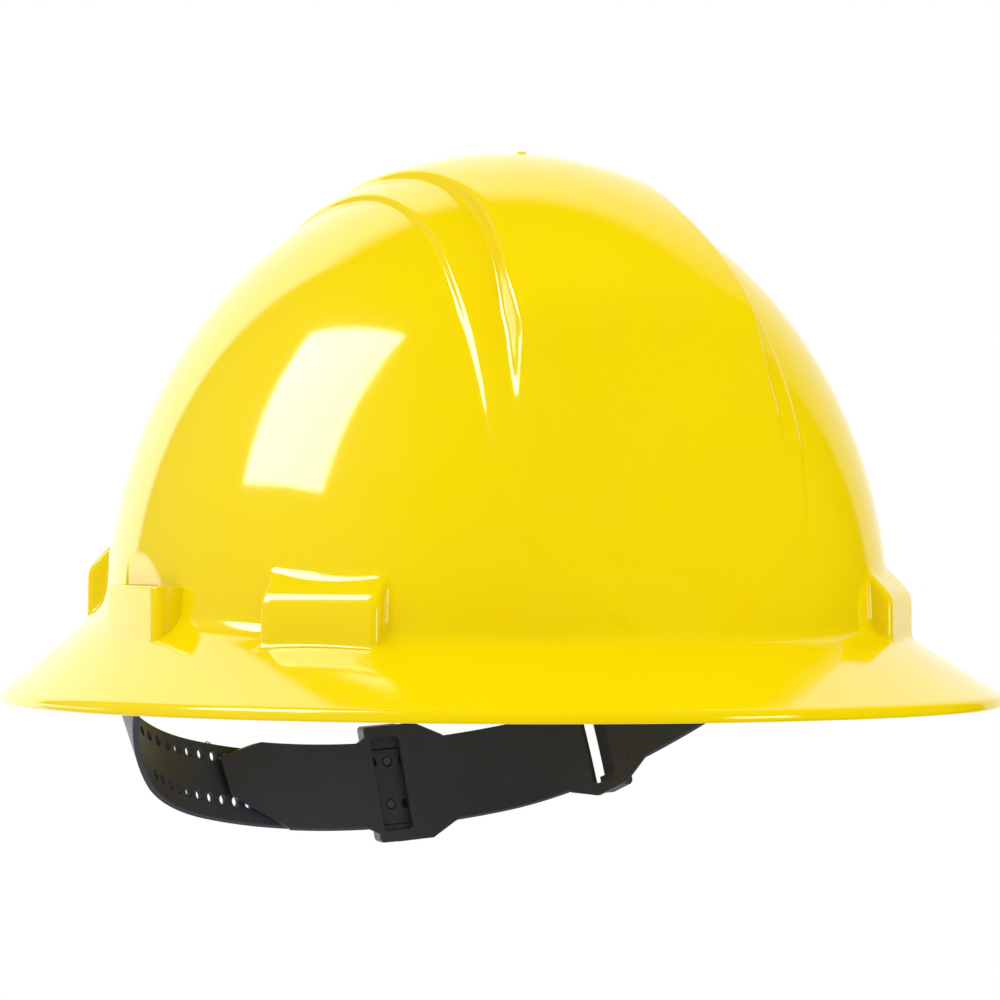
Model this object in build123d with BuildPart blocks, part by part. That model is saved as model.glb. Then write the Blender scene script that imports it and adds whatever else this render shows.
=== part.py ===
from build123d import *
from math import atan2, cos, degrees, hypot, pi, radians, sin, sqrt, tan
import os

# A full brim hard hat with a four point textile suspension and a pin lock nape strap.
# Millimetres. The front faces -Y, the wearer's left is +X, and +Z is up.
# The origin is the centre of the head opening, in the plane of the brim's lower edge.

# Crown of the shell
dome_half_width = 108.9
dome_half_length = 112.0
dome_rise = 127.6
dome_base_height = 22.0
crown_foot_angle = 8.0
shell_wall = 2.5

# Raised bands along the top of the crown
outer_band_lift = 1.9
outer_band_half_width = 44.8
outer_band_side_half_width = 46.2
outer_band_side_height = 75.0
centre_band_rise = 131.2
centre_band_half_width = 112.0
centre_band_half_length = 118.4
centre_band_forward = 4.4
panel_corner_half_width = 35.9
panel_corner_height = 103.0
panel_side_half_width = 42.2
panel_side_height = 62.0
panel_tip_half_width = 45.5
panel_tip_height = 51.0
# Top view of the bands: places as shares of the crown's half length,
# widths as shares of a band's half width at the height of the panel's corners
centre_band_place_shares = [0.71, 0.62, 0.48, 0.38, 0.27, 0.14, 0.0, -0.18, -0.5, -0.7]
centre_band_width_shares = [1.0, 0.92, 0.835, 0.83, 0.855, 0.895, 0.985, 1.02, 1.02, 1.0]
outer_band_place_shares = [0.64, 0.56, 0.42, 0.30, 0.18, 0.06, -0.05, -0.27, -0.45, -0.64]
outer_band_width_shares = [1.0, 0.98, 0.942, 0.947, 0.951, 0.971, 1.01, 1.035, 1.03, 1.0]

# Front panel, a shallow curve that leans back
panel_radius = 200.0
panel_forward = 104.0
panel_lean = 13.0

# Gate mark on top of the crown
gate_radius = 1.4
gate_forward = 16.0
gate_stand = 1.2

# Brim
brim_half_width = 136.0
brim_half_length = 155.5
brim_forward = 0.2
brim_rim_height = 3.0
brim_rim_wall = 3.4
brim_root_height = 25.0
brim_root_fall = 3.1

# Pockets that hold the suspension keys, two at the front and two at the rear
pocket_angle = 49.8
pocket_face_radius = 115.2
pocket_width = 34.4
pocket_face_top = 30.5
pocket_top = 38.2
pocket_slope_run = 7.5
pocket_rear_lift = 6.5
pocket_corner = 3.0
pocket_bore_radius = 109.2
pocket_throat_width = 16.0
pocket_roof_wall = 5.0
pocket_bore_slope_share = 0.35

# Accessory slots, one at each side
slot_face = 113.8
slot_backward = -7.8
slot_width = 35.6
slot_top = 33.5
slot_gap = 4.4
slot_wall = 1.8
slot_floor_height = 22.0

# Loop of the headband and of the nape straps: the inner face of the pinned strap
loop_half_width = 93.0
loop_front = 96.0
loop_rear = 113.0
loop_centre_y = 9.0
loop_side_radius = 150.0
loop_front_radius = 95.0
loop_front_corner = 68.0
loop_rear_radius = 120.0
loop_rear_corner = 56.0
strap_wall = 1.9
strap_gap = 0.45

# Headband
headband_gap = 1.2
headband_wall = 1.9
headband_front_top = 31.0
headband_shoulder_y = -40.0
headband_side_top = 21.0
headband_side_y = -14.0
headband_bottom = 2.0
headband_end_y = 66.0
headband_end_top = 13.0
headband_end_bottom = -5.0

# Nape straps
nape_pivot_y = 35.0
nape_pivot_height = 9.2
nape_pitch = 28.4
nape_length = 130.0
nape_pinned_width = 25.4
nape_holed_width = 22.6
nape_lean_start = -4.0
nape_lean = 18.0
nape_bottom = -56.0
tongue_tip_x = -41.0
tongue_tip_slant = 2.4
tongue_tip_width = 11.0
tongue_tip_lift = 0.8
tongue_upper_run = 16.8
tongue_lower_run = 20.0
holed_end_x = 48.0
keeper_half_height = 17.0
keeper_window_half_height = 13.6
keeper_length = 27.0
keeper_distance = 22.0
keeper_window_length = 9.0
keeper_window_distance = 17.0
keeper_bridge_margin = 1.6
keeper_corner_cut = 4.4
keeper_corner_run = 8.0
keeper_slit = 1.2
keeper_window_corner = 0.8
corner_keeper_distance = 86.0
corner_keeper_length = 26.0
corner_window_length = 7.6
corner_window_distance = 84.6
hole_pitch = 5.1
hole_radius = 1.5
hole_row_spacing = 12.6
holes_beyond_pin = 3
hole_count = 23
lock_pin_radius = 1.25

# Rivets that join the nape straps to the headband
rivet_radius = 2.5
rivet_clearance = 0.08
rivet_head_radius = 5.5
rivet_head_height = 1.4
rivet_boss_radius = 7.0
rivet_boss_inner = 86.2
rivet_boss_face = 90.3
rivet_boss_stand = 1.4
rivet_boss_relief = 0.6
rivet_play = 0.2

# Suspension keys
key_clearance = 0.3
key_plate_radius = 97.0
key_plate_wall = 2.4
key_plate_width = 25.0
key_plate_bottom = 15.0
key_plate_top = 46.0
key_bar_height = 3.4
key_window_height = 5.2
key_window_width = 20.6
key_blade_bottom = 16.0
stud_height = 23.5
stud_shoulder_radius = 4.0
stud_radius = 2.4
button_radius = 5.2
button_wall = 1.8
button_clearance = 0.05

# Tabs of the headband that ride on the studs
front_tab_radius = 92.4
rear_tab_radius = 91.6
tab_wall = 1.9
tab_width = 17.0
tab_top = 36.5
tab_bottom = 4.0
tab_foot_top = 13.0
tab_foot_reach = 15.0
tab_clearance = 0.3
height_travel = 6.0

# Crown straps
strap_width = 19.0
webbing = 1.2
webbing_gap = 0.3
crossing_gap = 0.6
crown_clearance = 27.5
strap_loop_shoulder = 1.5
strap_loop_neck = 6.0
strap_fold = 14.0

# Brow pad
pad_foam_wall = 3.4
pad_foam_gap = 0.1
pad_cover_wall = 1.0
pad_gap = 0.3
pad_bottom = 4.5
pad_top = 33.5
pad_flap_drop = 9.0
pad_half_width = 62.0

# Shares of a wall or width that round or cut an edge
rim_fillet_share = 0.33
strap_end_cut_share = 0.2

quarter_turn = 90.0
half_turn = 180.0

overrun = 4.0
reach = 400.0


def corner_centre(side_radius, side_x, side_y, end_radius, end_y, corner_radius, forward):
    """Centre of the corner arc that is tangent inside both the side arc and the end arc."""
    side_reach = side_radius - corner_radius
    end_reach = end_radius - corner_radius
    dx = -side_x
    dy = end_y - side_y
    gap = hypot(dx, dy)
    along = (side_reach ** 2 - end_reach ** 2 + gap ** 2) / (2 * gap)
    across = sqrt(side_reach ** 2 - along ** 2)
    points = []
    for sign in (-1, 1):
        x = side_x + along * dx / gap - sign * across * dy / gap
        y = side_y + along * dy / gap + sign * across * dx / gap
        points.append((x, y))
    return min(points, key=lambda p: p[1]) if forward else max(points, key=lambda p: p[1])


side_centre_x = loop_half_width - loop_side_radius
rear_centre_y = loop_rear - loop_rear_radius
front_centre_y = loop_front_radius - loop_front
rear_corner = corner_centre(
    loop_side_radius, side_centre_x, loop_centre_y,
    loop_rear_radius, rear_centre_y, loop_rear_corner, False)
front_corner = corner_centre(
    loop_side_radius, side_centre_x, loop_centre_y,
    loop_front_radius, front_centre_y, loop_front_corner, True)
side_to_rear = degrees(atan2(rear_corner[1] - loop_centre_y, rear_corner[0] - side_centre_x))
side_to_front = degrees(atan2(front_corner[1] - loop_centre_y, front_corner[0] - side_centre_x))
rear_turn = degrees(atan2(rear_corner[1] - rear_centre_y, rear_corner[0]))
front_turn = degrees(atan2(front_corner[1] - front_centre_y, front_corner[0]))


def loop_outline(out):
    """Closed outline of eight tangent arcs, a distance out from the loop."""
    arcs = []
    arcs.append(CenterArc(
        (side_centre_x, loop_centre_y), loop_side_radius + out, side_to_front, side_to_rear - side_to_front))
    arcs.append(CenterArc(rear_corner, loop_rear_corner + out, side_to_rear, rear_turn - side_to_rear))
    arcs.append(CenterArc((0, rear_centre_y), loop_rear_radius + out, rear_turn, half_turn - 2 * rear_turn))
    arcs.append(CenterArc(
        (-rear_corner[0], rear_corner[1]), loop_rear_corner + out,
        half_turn - rear_turn, rear_turn - side_to_rear))
    arcs.append(CenterArc(
        (-side_centre_x, loop_centre_y), loop_side_radius + out,
        half_turn - side_to_rear, side_to_rear - side_to_front))
    arcs.append(CenterArc(
        (-front_corner[0], front_corner[1]), loop_front_corner + out,
        half_turn - side_to_front, side_to_front - front_turn))
    arcs.append(CenterArc(
        (0, front_centre_y), loop_front_radius + out, half_turn - front_turn, half_turn + 2 * front_turn))
    arcs.append(CenterArc(
        (front_corner[0], front_corner[1]), loop_front_corner + out, front_turn, side_to_front - front_turn))
    return arcs


def loop_solid(out):
    """Solid inside the loop: upright above the lean's start, and drawn in below it."""
    lean_depth = nape_lean_start - nape_bottom
    with BuildPart() as body:
        with BuildSketch(Plane.XY.offset(nape_lean_start)):
            with BuildLine():
                loop_outline(out)
            make_face()
        extrude(amount=pad_top + overrun - nape_lean_start)
        with BuildSketch(Plane.XY.offset(nape_lean_start)):
            with BuildLine():
                loop_outline(out)
            make_face()
        with BuildSketch(Plane.XY.offset(nape_bottom)):
            with BuildLine():
                loop_outline(out - lean_depth * tan(radians(nape_lean)))
            make_face()
        loft(ruled=True)
    return body.part


def loop_wall(inner, outer):
    """Wall that follows the loop between two distances out from it."""
    return loop_solid(outer) - loop_solid(inner)


def ellipsoid(half_width, half_length, rise, forward, height):
    """Ellipsoid with its own three half sizes."""
    with BuildPart() as body:
        Sphere(rise, arc_size1=-crown_foot_angle, align=(Align.CENTER, Align.CENTER, Align.NONE))
    stretched = scale(body.part, by=(half_width / rise, half_length / rise, 1))
    return Pos(0, -forward, height) * stretched


def band_top_prism(half_width, place_shares, width_shares, inset):
    """Prism above the panel's corners, mirrored to both sides, from a band's top view outline."""
    points = []
    for place_share, width_share in zip(place_shares, width_shares):
        points.append((half_width * width_share - inset, -dome_half_length * place_share))
    first_x, first_y = points[0]
    last_x, last_y = points[-1]
    with BuildPart() as body:
        with BuildSketch(Plane.XY.offset(panel_corner_height)):
            with BuildLine():
                Polyline(
                    (first_x, first_y), (first_x, -reach), (0, -reach),
                    (0, reach), (last_x, reach), (last_x, last_y))
                Spline(*points, tangents=((0, 1), (0, 1)))
            make_face()
            mirror(about=Plane.YZ)
        extrude(amount=dome_rise)
    return body.part


def front_prism(points):
    """Prism along Y through the whole hat, mirrored to both sides, from a front view outline."""
    with BuildPart() as body:
        with BuildSketch(Plane.XZ):
            with BuildLine():
                Polyline(*points, close=True)
            make_face()
            mirror(about=Plane.YZ)
        extrude(amount=reach, both=True)
    return body.part


def crown(inset):
    """Crown with its raised bands and front panel, a distance inside the outer surface."""
    dome = ellipsoid(
        dome_half_width - inset, dome_half_length - inset, dome_rise - inset, 0, dome_base_height)
    outer_outline = [
        (0, panel_corner_height),
        (outer_band_half_width - inset, panel_corner_height),
        (outer_band_side_half_width - inset, outer_band_side_height),
        (panel_tip_half_width - inset, panel_tip_height),
        (0, panel_tip_height),
    ]
    outer_band = ellipsoid(
        dome_half_width - inset, dome_half_length - inset, dome_rise - inset,
        0, dome_base_height + outer_band_lift)
    centre_outline = [
        (0, panel_corner_height),
        (panel_corner_half_width - inset, panel_corner_height),
        (panel_side_half_width - inset, panel_side_height),
        (panel_tip_half_width - inset, panel_tip_height),
        (0, panel_tip_height),
    ]
    centre_band = ellipsoid(
        centre_band_half_width - inset, centre_band_half_length - inset, centre_band_rise - inset,
        centre_band_forward, dome_base_height)
    panel_plane = Plane(
        origin=(0, -panel_forward + inset, panel_tip_height), x_dir=(1, 0, 0),
        z_dir=(0, sin(radians(panel_lean)), cos(radians(panel_lean))))
    with BuildPart() as panel_space:
        with BuildSketch(panel_plane):
            with Locations((0, panel_radius)):
                Circle(panel_radius)
        extrude(amount=panel_radius, both=True)
    outer_top = band_top_prism(
        outer_band_half_width, outer_band_place_shares, outer_band_width_shares, inset)
    centre_top = band_top_prism(
        panel_corner_half_width, centre_band_place_shares, centre_band_width_shares, inset)
    raised_outer = outer_band & (front_prism(outer_outline) + outer_top)
    raised_centre = centre_band & (front_prism(centre_outline) + centre_top)
    with BuildPart() as shaped:
        add(dome)
        add(raised_outer)
        add(raised_centre)
        add(panel_space.part, mode=Mode.INTERSECT)
    return shaped.part


def brim_solid(inset, drop):
    """Brim from its edge to the crown's root, a distance inside its edge and below its top face."""
    root_plane = Plane(
        origin=(0, 0, brim_root_height - drop), x_dir=(1, 0, 0),
        z_dir=(0, -sin(radians(brim_root_fall)), cos(radians(brim_root_fall))))
    with BuildPart() as body:
        with BuildSketch(Plane.XY.offset(brim_rim_height - drop)):
            with Locations((0, -brim_forward)):
                Ellipse(brim_half_width - inset, brim_half_length - inset)
        with BuildSketch(root_plane):
            Ellipse(dome_half_width - inset, dome_half_length - inset)
        loft(ruled=True)
    return body.part


def pocket_plane(side, end):
    """Vertical plane through a pocket's middle: local x outwards, local y up. end is -1 for the front."""
    outward = (side * sin(radians(pocket_angle)), end * cos(radians(pocket_angle)), 0)
    across = (outward[1], -outward[0], 0)
    return Plane(origin=(0, 0, 0), x_dir=outward, z_dir=across)


def pocket_rise(end):
    """How much higher a pocket lies: the brim's root climbs towards the rear."""
    return pocket_rear_lift if end > 0 else 0


def pocket_block(side, end):
    """Outside of one pocket: an upright face under a sloped top."""
    rise = pocket_rise(end)
    with BuildPart() as body:
        with BuildSketch(pocket_plane(side, end)):
            with BuildLine():
                Polyline(
                    (key_plate_radius, brim_rim_height + shell_wall),
                    (pocket_face_radius, brim_rim_height + shell_wall),
                    (pocket_face_radius, pocket_face_top + rise),
                    (pocket_face_radius - pocket_slope_run, pocket_top + rise),
                    (key_plate_radius, pocket_top + rise),
                    close=True)
            make_face()
        extrude(amount=pocket_width / 2, both=True)
        outer_edges = body.edges().filter_by(Axis.Z).sort_by_distance((0, 0, 0))[-2:]
        fillet(outer_edges, radius=pocket_corner)
    return body.part


def pocket_space(side, end):
    """Inside of one pocket: a wide bore for the key's blade and a throat for its neck."""
    rise = pocket_rise(end)
    roof = pocket_top + rise - pocket_roof_wall
    slope_run = pocket_slope_run * pocket_bore_slope_share
    with BuildPart() as body:
        with BuildSketch(pocket_plane(side, end)):
            with BuildLine():
                Polyline(
                    (pocket_bore_radius, -overrun),
                    (pocket_face_radius - shell_wall, -overrun),
                    (pocket_face_radius - shell_wall, pocket_face_top + rise - shell_wall / 2),
                    (pocket_face_radius - shell_wall - slope_run, roof),
                    (pocket_bore_radius, roof),
                    close=True)
            make_face()
        extrude(amount=pocket_width / 2 - shell_wall, both=True)
        with BuildSketch(pocket_plane(side, end)):
            with BuildLine():
                Polyline(
                    (key_plate_radius, -overrun),
                    (pocket_bore_radius + key_clearance, -overrun),
                    (pocket_bore_radius + key_clearance, roof),
                    (key_plate_radius, roof),
                    close=True)
            make_face()
        extrude(amount=pocket_throat_width / 2, both=True)
    return body.part


def slot_block(side):
    """Accessory slot at one side: an outer wall that stands off the crown, open at its top."""
    with BuildPart() as body:
        with Locations((side * (slot_face - overrun), slot_backward, 0)):
            Box(2 * overrun, slot_width, slot_top, align=(Align.CENTER, Align.CENTER, Align.MIN))
        outer_edges = body.edges().filter_by(Axis.Z).sort_by_distance((0, slot_backward, 0))[-2:]
        fillet(outer_edges, radius=slot_wall)
    return body.part


def slot_space(side):
    """Gap behind the outer wall of an accessory slot."""
    gap_centre = side * (slot_face - slot_wall - slot_gap / 2)
    with BuildPart() as body:
        with Locations((gap_centre, slot_backward, slot_floor_height)):
            Box(slot_gap, slot_width - 2 * slot_wall, slot_top, align=(Align.CENTER, Align.CENTER, Align.MIN))
    return body.part


def make_shell():
    """One moulded shell: crown, brim, pockets, slots and the gate mark, all of one wall."""
    brim_run = brim_half_length - dome_half_length
    brim_fall = brim_root_height - brim_rim_height
    wall_drop = shell_wall * hypot(brim_run, brim_fall) / brim_run
    crown_outside = crown(0)
    crown_inside = crown(shell_wall)
    brim_outside = brim_solid(0, 0)
    brim_inside = brim_solid(brim_rim_wall, wall_drop)
    blocks = []
    spaces = []
    for side in (-1, 1):
        for end in (-1, 1):
            blocks.append(pocket_block(side, end))
            spaces.append(pocket_space(side, end))
        blocks.append(slot_block(side))
        spaces.append(slot_space(side))
    with BuildPart() as shell:
        add(crown_outside)
        add(brim_outside)
        with BuildSketch():
            with Locations((0, -brim_forward)):
                Ellipse(brim_half_width, brim_half_length)
        extrude(amount=brim_rim_height)
        for block in blocks:
            add(block)
        with Locations((0, -gate_forward, dome_base_height + centre_band_rise - gate_stand)):
            Cylinder(gate_radius, 2 * gate_stand, align=(Align.CENTER, Align.CENTER, Align.MIN))
        add(crown_inside, mode=Mode.SUBTRACT)
        add(brim_inside, mode=Mode.SUBTRACT)
        with BuildSketch(Plane.XY.offset(brim_rim_height - wall_drop)):
            with Locations((0, -brim_forward)):
                Ellipse(brim_half_width - brim_rim_wall, brim_half_length - brim_rim_wall)
        extrude(amount=-overrun, mode=Mode.SUBTRACT)
        for space in spaces:
            add(space, mode=Mode.SUBTRACT)
    return shell.part


def side_prism(points):
    """Prism along X through the whole hat from a side view outline."""
    with BuildPart() as body:
        with BuildSketch(Plane.YZ):
            with BuildLine():
                Polyline(*points, close=True)
            make_face()
        extrude(amount=reach, both=True)
    return body.part


def upright_wall(inner, outer, low, high):
    """Upright wall that follows the loop, between two distances out and two heights."""
    with BuildPart() as body:
        with BuildSketch(Plane.XY.offset(low)):
            with BuildLine():
                loop_outline(outer)
            make_face()
            with BuildLine():
                loop_outline(inner)
            make_face(mode=Mode.SUBTRACT)
        extrude(amount=high - low)
    return body.part


def loop_block(out, low, high):
    """Upright block of everything inside the loop, a distance out from it, between two heights."""
    with BuildPart() as body:
        with BuildSketch(Plane.XY.offset(low)):
            with BuildLine():
                loop_outline(out)
            make_face()
        extrude(amount=high - low)
    return body.part


def turned_bar(side, centre_y, height, radius, inner, outer):
    """Round bar along X at one side of the hat."""
    plane = Plane(origin=(side * inner, centre_y, height), x_dir=(0, 1, 0), z_dir=(side, 0, 0))
    with BuildPart() as body:
        with BuildSketch(plane):
            Circle(radius)
        extrude(amount=outer - inner)
    return body.part


def radial_bar(side, end, height, radius, inner, outer):
    """Round bar along a key's outward direction."""
    outward = (side * sin(radians(pocket_angle)), end * cos(radians(pocket_angle)), 0)
    start = (outward[0] * inner, outward[1] * inner, height)
    plane = Plane(origin=start, x_dir=(0, 0, 1), z_dir=outward)
    with BuildPart() as body:
        with BuildSketch(plane):
            Circle(radius)
        extrude(amount=outer - inner)
    return body.part


def radial_plate(side, end, inner, outer, low, high, width):
    """Upright plate square to a key's outward direction."""
    with BuildPart() as body:
        with BuildSketch(pocket_plane(side, end)):
            with BuildLine():
                Polyline((inner, low), (outer, low), (outer, high), (inner, high), close=True)
            make_face()
        extrude(amount=width / 2, both=True)
    return body.part


def tab_radius(end):
    return rear_tab_radius if end > 0 else front_tab_radius


def make_key(side, end):
    """Suspension key: pocket blade, neck, webbing plate with its bar, and the stud for the headband."""
    rise = pocket_rise(end)
    blade_inner = pocket_bore_radius + key_clearance
    blade_outer = pocket_face_radius - shell_wall - key_clearance
    blade_top = pocket_top + rise - pocket_roof_wall - 2 * key_clearance
    blade_shoulder = pocket_face_top + rise - shell_wall / 2 - 2 * key_clearance
    plate_outer = key_plate_radius + key_plate_wall
    window_top = key_plate_top + rise - key_bar_height
    tab = tab_radius(end)
    stud_end = tab - tab_clearance - button_wall
    plate = radial_plate(
        side, end, key_plate_radius, plate_outer,
        key_plate_bottom + rise, key_plate_top + rise, key_plate_width)
    window = radial_plate(
        side, end, key_plate_radius - overrun, plate_outer + overrun,
        window_top - key_window_height, window_top, key_window_width)
    neck = radial_plate(
        side, end, key_plate_radius, blade_inner + key_clearance,
        key_blade_bottom + rise, blade_top, pocket_throat_width - 2 * key_clearance)
    shoulder = radial_bar(
        side, end, stud_height + rise, stud_shoulder_radius, tab + tab_wall + tab_clearance,
        key_plate_radius + key_plate_wall / 2)
    stud = radial_bar(side, end, stud_height + rise, stud_radius, stud_end, key_plate_radius)
    with BuildPart() as key:
        with BuildSketch(pocket_plane(side, end)):
            with BuildLine():
                Polyline(
                    (blade_inner, key_blade_bottom + rise),
                    (blade_outer, key_blade_bottom + rise),
                    (blade_outer, blade_shoulder),
                    (blade_outer - pocket_slope_run * pocket_bore_slope_share, blade_top),
                    (blade_inner, blade_top),
                    close=True)
            make_face()
        extrude(amount=pocket_width / 2 - shell_wall - key_clearance, both=True)
        add(plate)
        add(neck)
        add(shoulder)
        add(stud)
        add(window, mode=Mode.SUBTRACT)
    return key.part


def make_button(side, end):
    """Cap on a key's stud that keeps the headband's tab on it."""
    rise = pocket_rise(end)
    face = tab_radius(end) - tab_clearance
    middle = stud_height + rise
    disc = radial_bar(side, end, middle, button_radius, face - button_wall, face)
    bore = radial_bar(
        side, end, middle, stud_radius + button_clearance, face - button_wall - overrun, face + overrun)
    with BuildPart() as button:
        add(disc)
        circles = button.edges().filter_by(GeomType.CIRCLE)
        rim = circles.sort_by(lambda e: hypot(e.center().X, e.center().Y))[0]
        fillet(rim, radius=button_wall * rim_fillet_share)
        add(bore, mode=Mode.SUBTRACT)
    return button.part


def tab_slot(side, end):
    """Upright slot that lets a tab move along its stud."""
    tab = tab_radius(end)
    half_width = stud_radius + tab_clearance
    low = stud_height + pocket_rise(end) - height_travel
    high = low + 2 * height_travel
    flat = radial_plate(
        side, end, tab - overrun, tab + tab_wall + overrun, low, high, 2 * half_width)
    low_end = radial_bar(side, end, low, half_width, tab - overrun, tab + 2 * overrun)
    high_end = radial_bar(side, end, high, half_width, tab - overrun, tab + 2 * overrun)
    return flat + low_end + high_end


def tab_reliefs(side, end):
    """Flats on a tab's two faces where the stud's shoulder and its cap slide."""
    middle = stud_height + pocket_rise(end)
    tab = tab_radius(end)
    cap_room = button_radius + tab_clearance
    shoulder_room = stud_shoulder_radius + tab_clearance
    inside = radial_plate(
        side, end, tab - overrun, tab,
        middle - height_travel - cap_room, middle + height_travel + cap_room, 2 * cap_room)
    outside = radial_plate(
        side, end, tab + tab_wall, tab + tab_wall + overrun,
        middle - height_travel - shoulder_room, middle + height_travel + shoulder_room, 2 * shoulder_room)
    return [inside, outside]


def make_headband():
    """Moulded headband, open at the rear, with four slotted tabs and two flat rivet bosses."""
    outline = [
        (-loop_front - overrun, headband_bottom),
        (-loop_front - overrun, headband_front_top),
        (headband_shoulder_y, headband_front_top),
        (headband_side_y, headband_side_top),
        (headband_end_y, headband_end_top),
        (headband_end_y, headband_end_bottom),
        (headband_side_y, headband_bottom),
    ]
    wall = upright_wall(
        -headband_gap - headband_wall, -headband_gap,
        headband_end_bottom - overrun, headband_front_top + overrun)
    limits = side_prism(outline)
    inside = loop_block(-headband_gap, headband_end_bottom, headband_front_top)
    tabs = []
    cuts = []
    bosses = []
    for side in (-1, 1):
        for end in (-1, 1):
            rise = pocket_rise(end)
            tab = tab_radius(end)
            tabs.append(radial_plate(
                side, end, tab, tab + tab_wall, tab_bottom, tab_top + rise, tab_width))
            cuts.append(tab_slot(side, end))
            cuts.extend(tab_reliefs(side, end))
        foot = radial_plate(
            side, 1, rear_tab_radius, rear_tab_radius + tab_foot_reach, tab_bottom, tab_foot_top, tab_width)
        tabs.append(foot & inside)
        bosses.append(turned_bar(
            side, nape_pivot_y, nape_pivot_height, rivet_boss_radius, rivet_boss_inner, rivet_boss_face))
        cuts.append(turned_bar(
            side, nape_pivot_y, nape_pivot_height, rivet_boss_radius + rivet_boss_relief,
            rivet_boss_face, loop_half_width + overrun))
        cuts.append(turned_bar(
            side, nape_pivot_y, nape_pivot_height, rivet_boss_radius + rivet_boss_relief,
            rivet_boss_inner - overrun, rivet_boss_inner))
        cuts.append(turned_bar(
            side, nape_pivot_y, nape_pivot_height, rivet_radius + rivet_clearance,
            rivet_boss_inner - overrun, loop_half_width))
    with BuildPart() as headband:
        add(wall)
        add(limits, mode=Mode.INTERSECT)
        for tab in tabs:
            add(tab)
        for boss in bosses:
            add(boss)
        for cut in cuts:
            add(cut, mode=Mode.SUBTRACT)
    return headband.part


def rivet_arm_face(side):
    """How far out the flat boss of a nape strap's arm reaches; the holed strap lies further out."""
    layers = 2 * strap_wall + strap_gap if side < 0 else strap_wall
    swing_x = side_centre_x + sqrt(loop_side_radius ** 2 - (nape_pivot_y - loop_centre_y) ** 2)
    return swing_x + layers + rivet_boss_stand


def make_rivet_post(side):
    """Rivet that carries one arm of the nape straps: an inner head and a shank."""
    head_face = rivet_boss_inner - rivet_play
    shank_end = rivet_arm_face(side) + rivet_play + rivet_head_height
    head = turned_bar(
        side, nape_pivot_y, nape_pivot_height, rivet_head_radius, head_face - rivet_head_height, head_face)
    shank = turned_bar(
        side, nape_pivot_y, nape_pivot_height, rivet_radius, head_face - rivet_head_height / 2, shank_end)
    with BuildPart() as post:
        add(head)
        add(shank)
    return post.part


def make_rivet_cap(side):
    """Outer cap pressed on a rivet's shank."""
    face = rivet_arm_face(side) + rivet_play
    disc = turned_bar(
        side, nape_pivot_y, nape_pivot_height, rivet_head_radius, face, face + rivet_head_height)
    bore = turned_bar(
        side, nape_pivot_y, nape_pivot_height, rivet_radius + button_clearance,
        face - overrun, face + rivet_head_height + overrun)
    with BuildPart() as cap:
        add(disc)
        rim = cap.edges().filter_by(GeomType.CIRCLE).sort_by(lambda e: abs(e.center().X))[-1]
        fillet(rim, radius=rivet_head_height * rim_fillet_share)
        add(bore, mode=Mode.SUBTRACT)
    return cap.part


def nape_height(y):
    """Height of the nape straps' middle line, which falls steadily from the rivets to the rear."""
    return nape_pivot_height - (y - nape_pivot_y) * tan(radians(nape_pitch))


def lean_inset(height):
    """How far the leaning wall has drawn in at a height."""
    return max(0, nape_lean_start - height) * tan(radians(nape_lean))


def leaned_height(place_y, sine):
    """Height of a strap's middle line on the leaning wall, below a place on the upright loop."""
    share = tan(radians(nape_pitch)) * tan(radians(nape_lean)) * sine
    return (nape_height(place_y) + share * nape_lean_start) / (1 + share)


def loop_place(distance, out):
    """Place on the rear of the loop, by its distance from the rear's middle, and its outward angle."""
    rear_length = radians(quarter_turn - rear_turn) * loop_rear_radius
    sign = 1 if distance >= 0 else -1
    if abs(distance) <= rear_length:
        angle = radians(quarter_turn) - abs(distance) / loop_rear_radius
        centre = (0, rear_centre_y)
        radius = loop_rear_radius
    else:
        angle = radians(rear_turn) - (abs(distance) - rear_length) / loop_rear_corner
        centre = rear_corner
        radius = loop_rear_corner
    x = centre[0] + (radius + out) * cos(angle)
    y = centre[1] + (radius + out) * sin(angle)
    return sign * x, y, angle if sign > 0 else pi - angle


def nape_plane(distance, out, offset):
    """Plane square to the loop, its local x along the loop and local y up, at a place on a strap."""
    x, y, angle = loop_place(distance, out)
    height = leaned_height(loop_place(distance, 0)[1], sin(angle)) + offset
    outward = (cos(angle), sin(angle), 0)
    inset = lean_inset(height)
    along = (-outward[1], outward[0], 0)
    origin = (x - outward[0] * inset, y - outward[1] * inset, height)
    return Plane(origin=origin, x_dir=along, z_dir=outward)


def rear_middle(x):
    """Height of a strap's middle line at a place across the rear of the loop."""
    return leaned_height(rear_centre_y + sqrt(loop_rear_radius ** 2 - x ** 2), 1)


def strap_slope(distance):
    """Slope in degrees of a strap along the loop, seen square to it."""
    angle = loop_place(distance, 0)[2]
    return degrees(atan2(tan(radians(nape_pitch)) * cos(angle), 1))


def nape_window(distance, length, half_height, depth, corner_run, corner_cut):
    """Block square to the loop, with cut corners, that turns with the strap's slope there."""
    plane = nape_plane(distance, 0, 0)
    half_length = length / 2
    flat = half_length - corner_run
    low = half_height - corner_cut
    with BuildPart() as body:
        with BuildSketch(plane.offset(-depth)):
            with BuildLine(Rotation(0, 0, -strap_slope(distance))):
                Polyline(
                    (-flat, -half_height), (flat, -half_height), (half_length, -low), (half_length, low),
                    (flat, half_height), (-flat, half_height), (-half_length, low), (-half_length, -low),
                    close=True)
            make_face()
        extrude(amount=2 * depth)
    return body.part


def strap_prism(width):
    """Side view of a strap: a straight band with a round end about the rivet."""
    with BuildPart() as body:
        with BuildSketch(Plane.YZ):
            with Locations((nape_pivot_y, nape_pivot_height)):
                Circle(width / 2)
            with Locations(Location((nape_pivot_y, nape_pivot_height), -nape_pitch)):
                Rectangle(nape_length, width, align=(Align.MIN, Align.CENTER))
        extrude(amount=reach, both=True)
    return body.part


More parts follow.
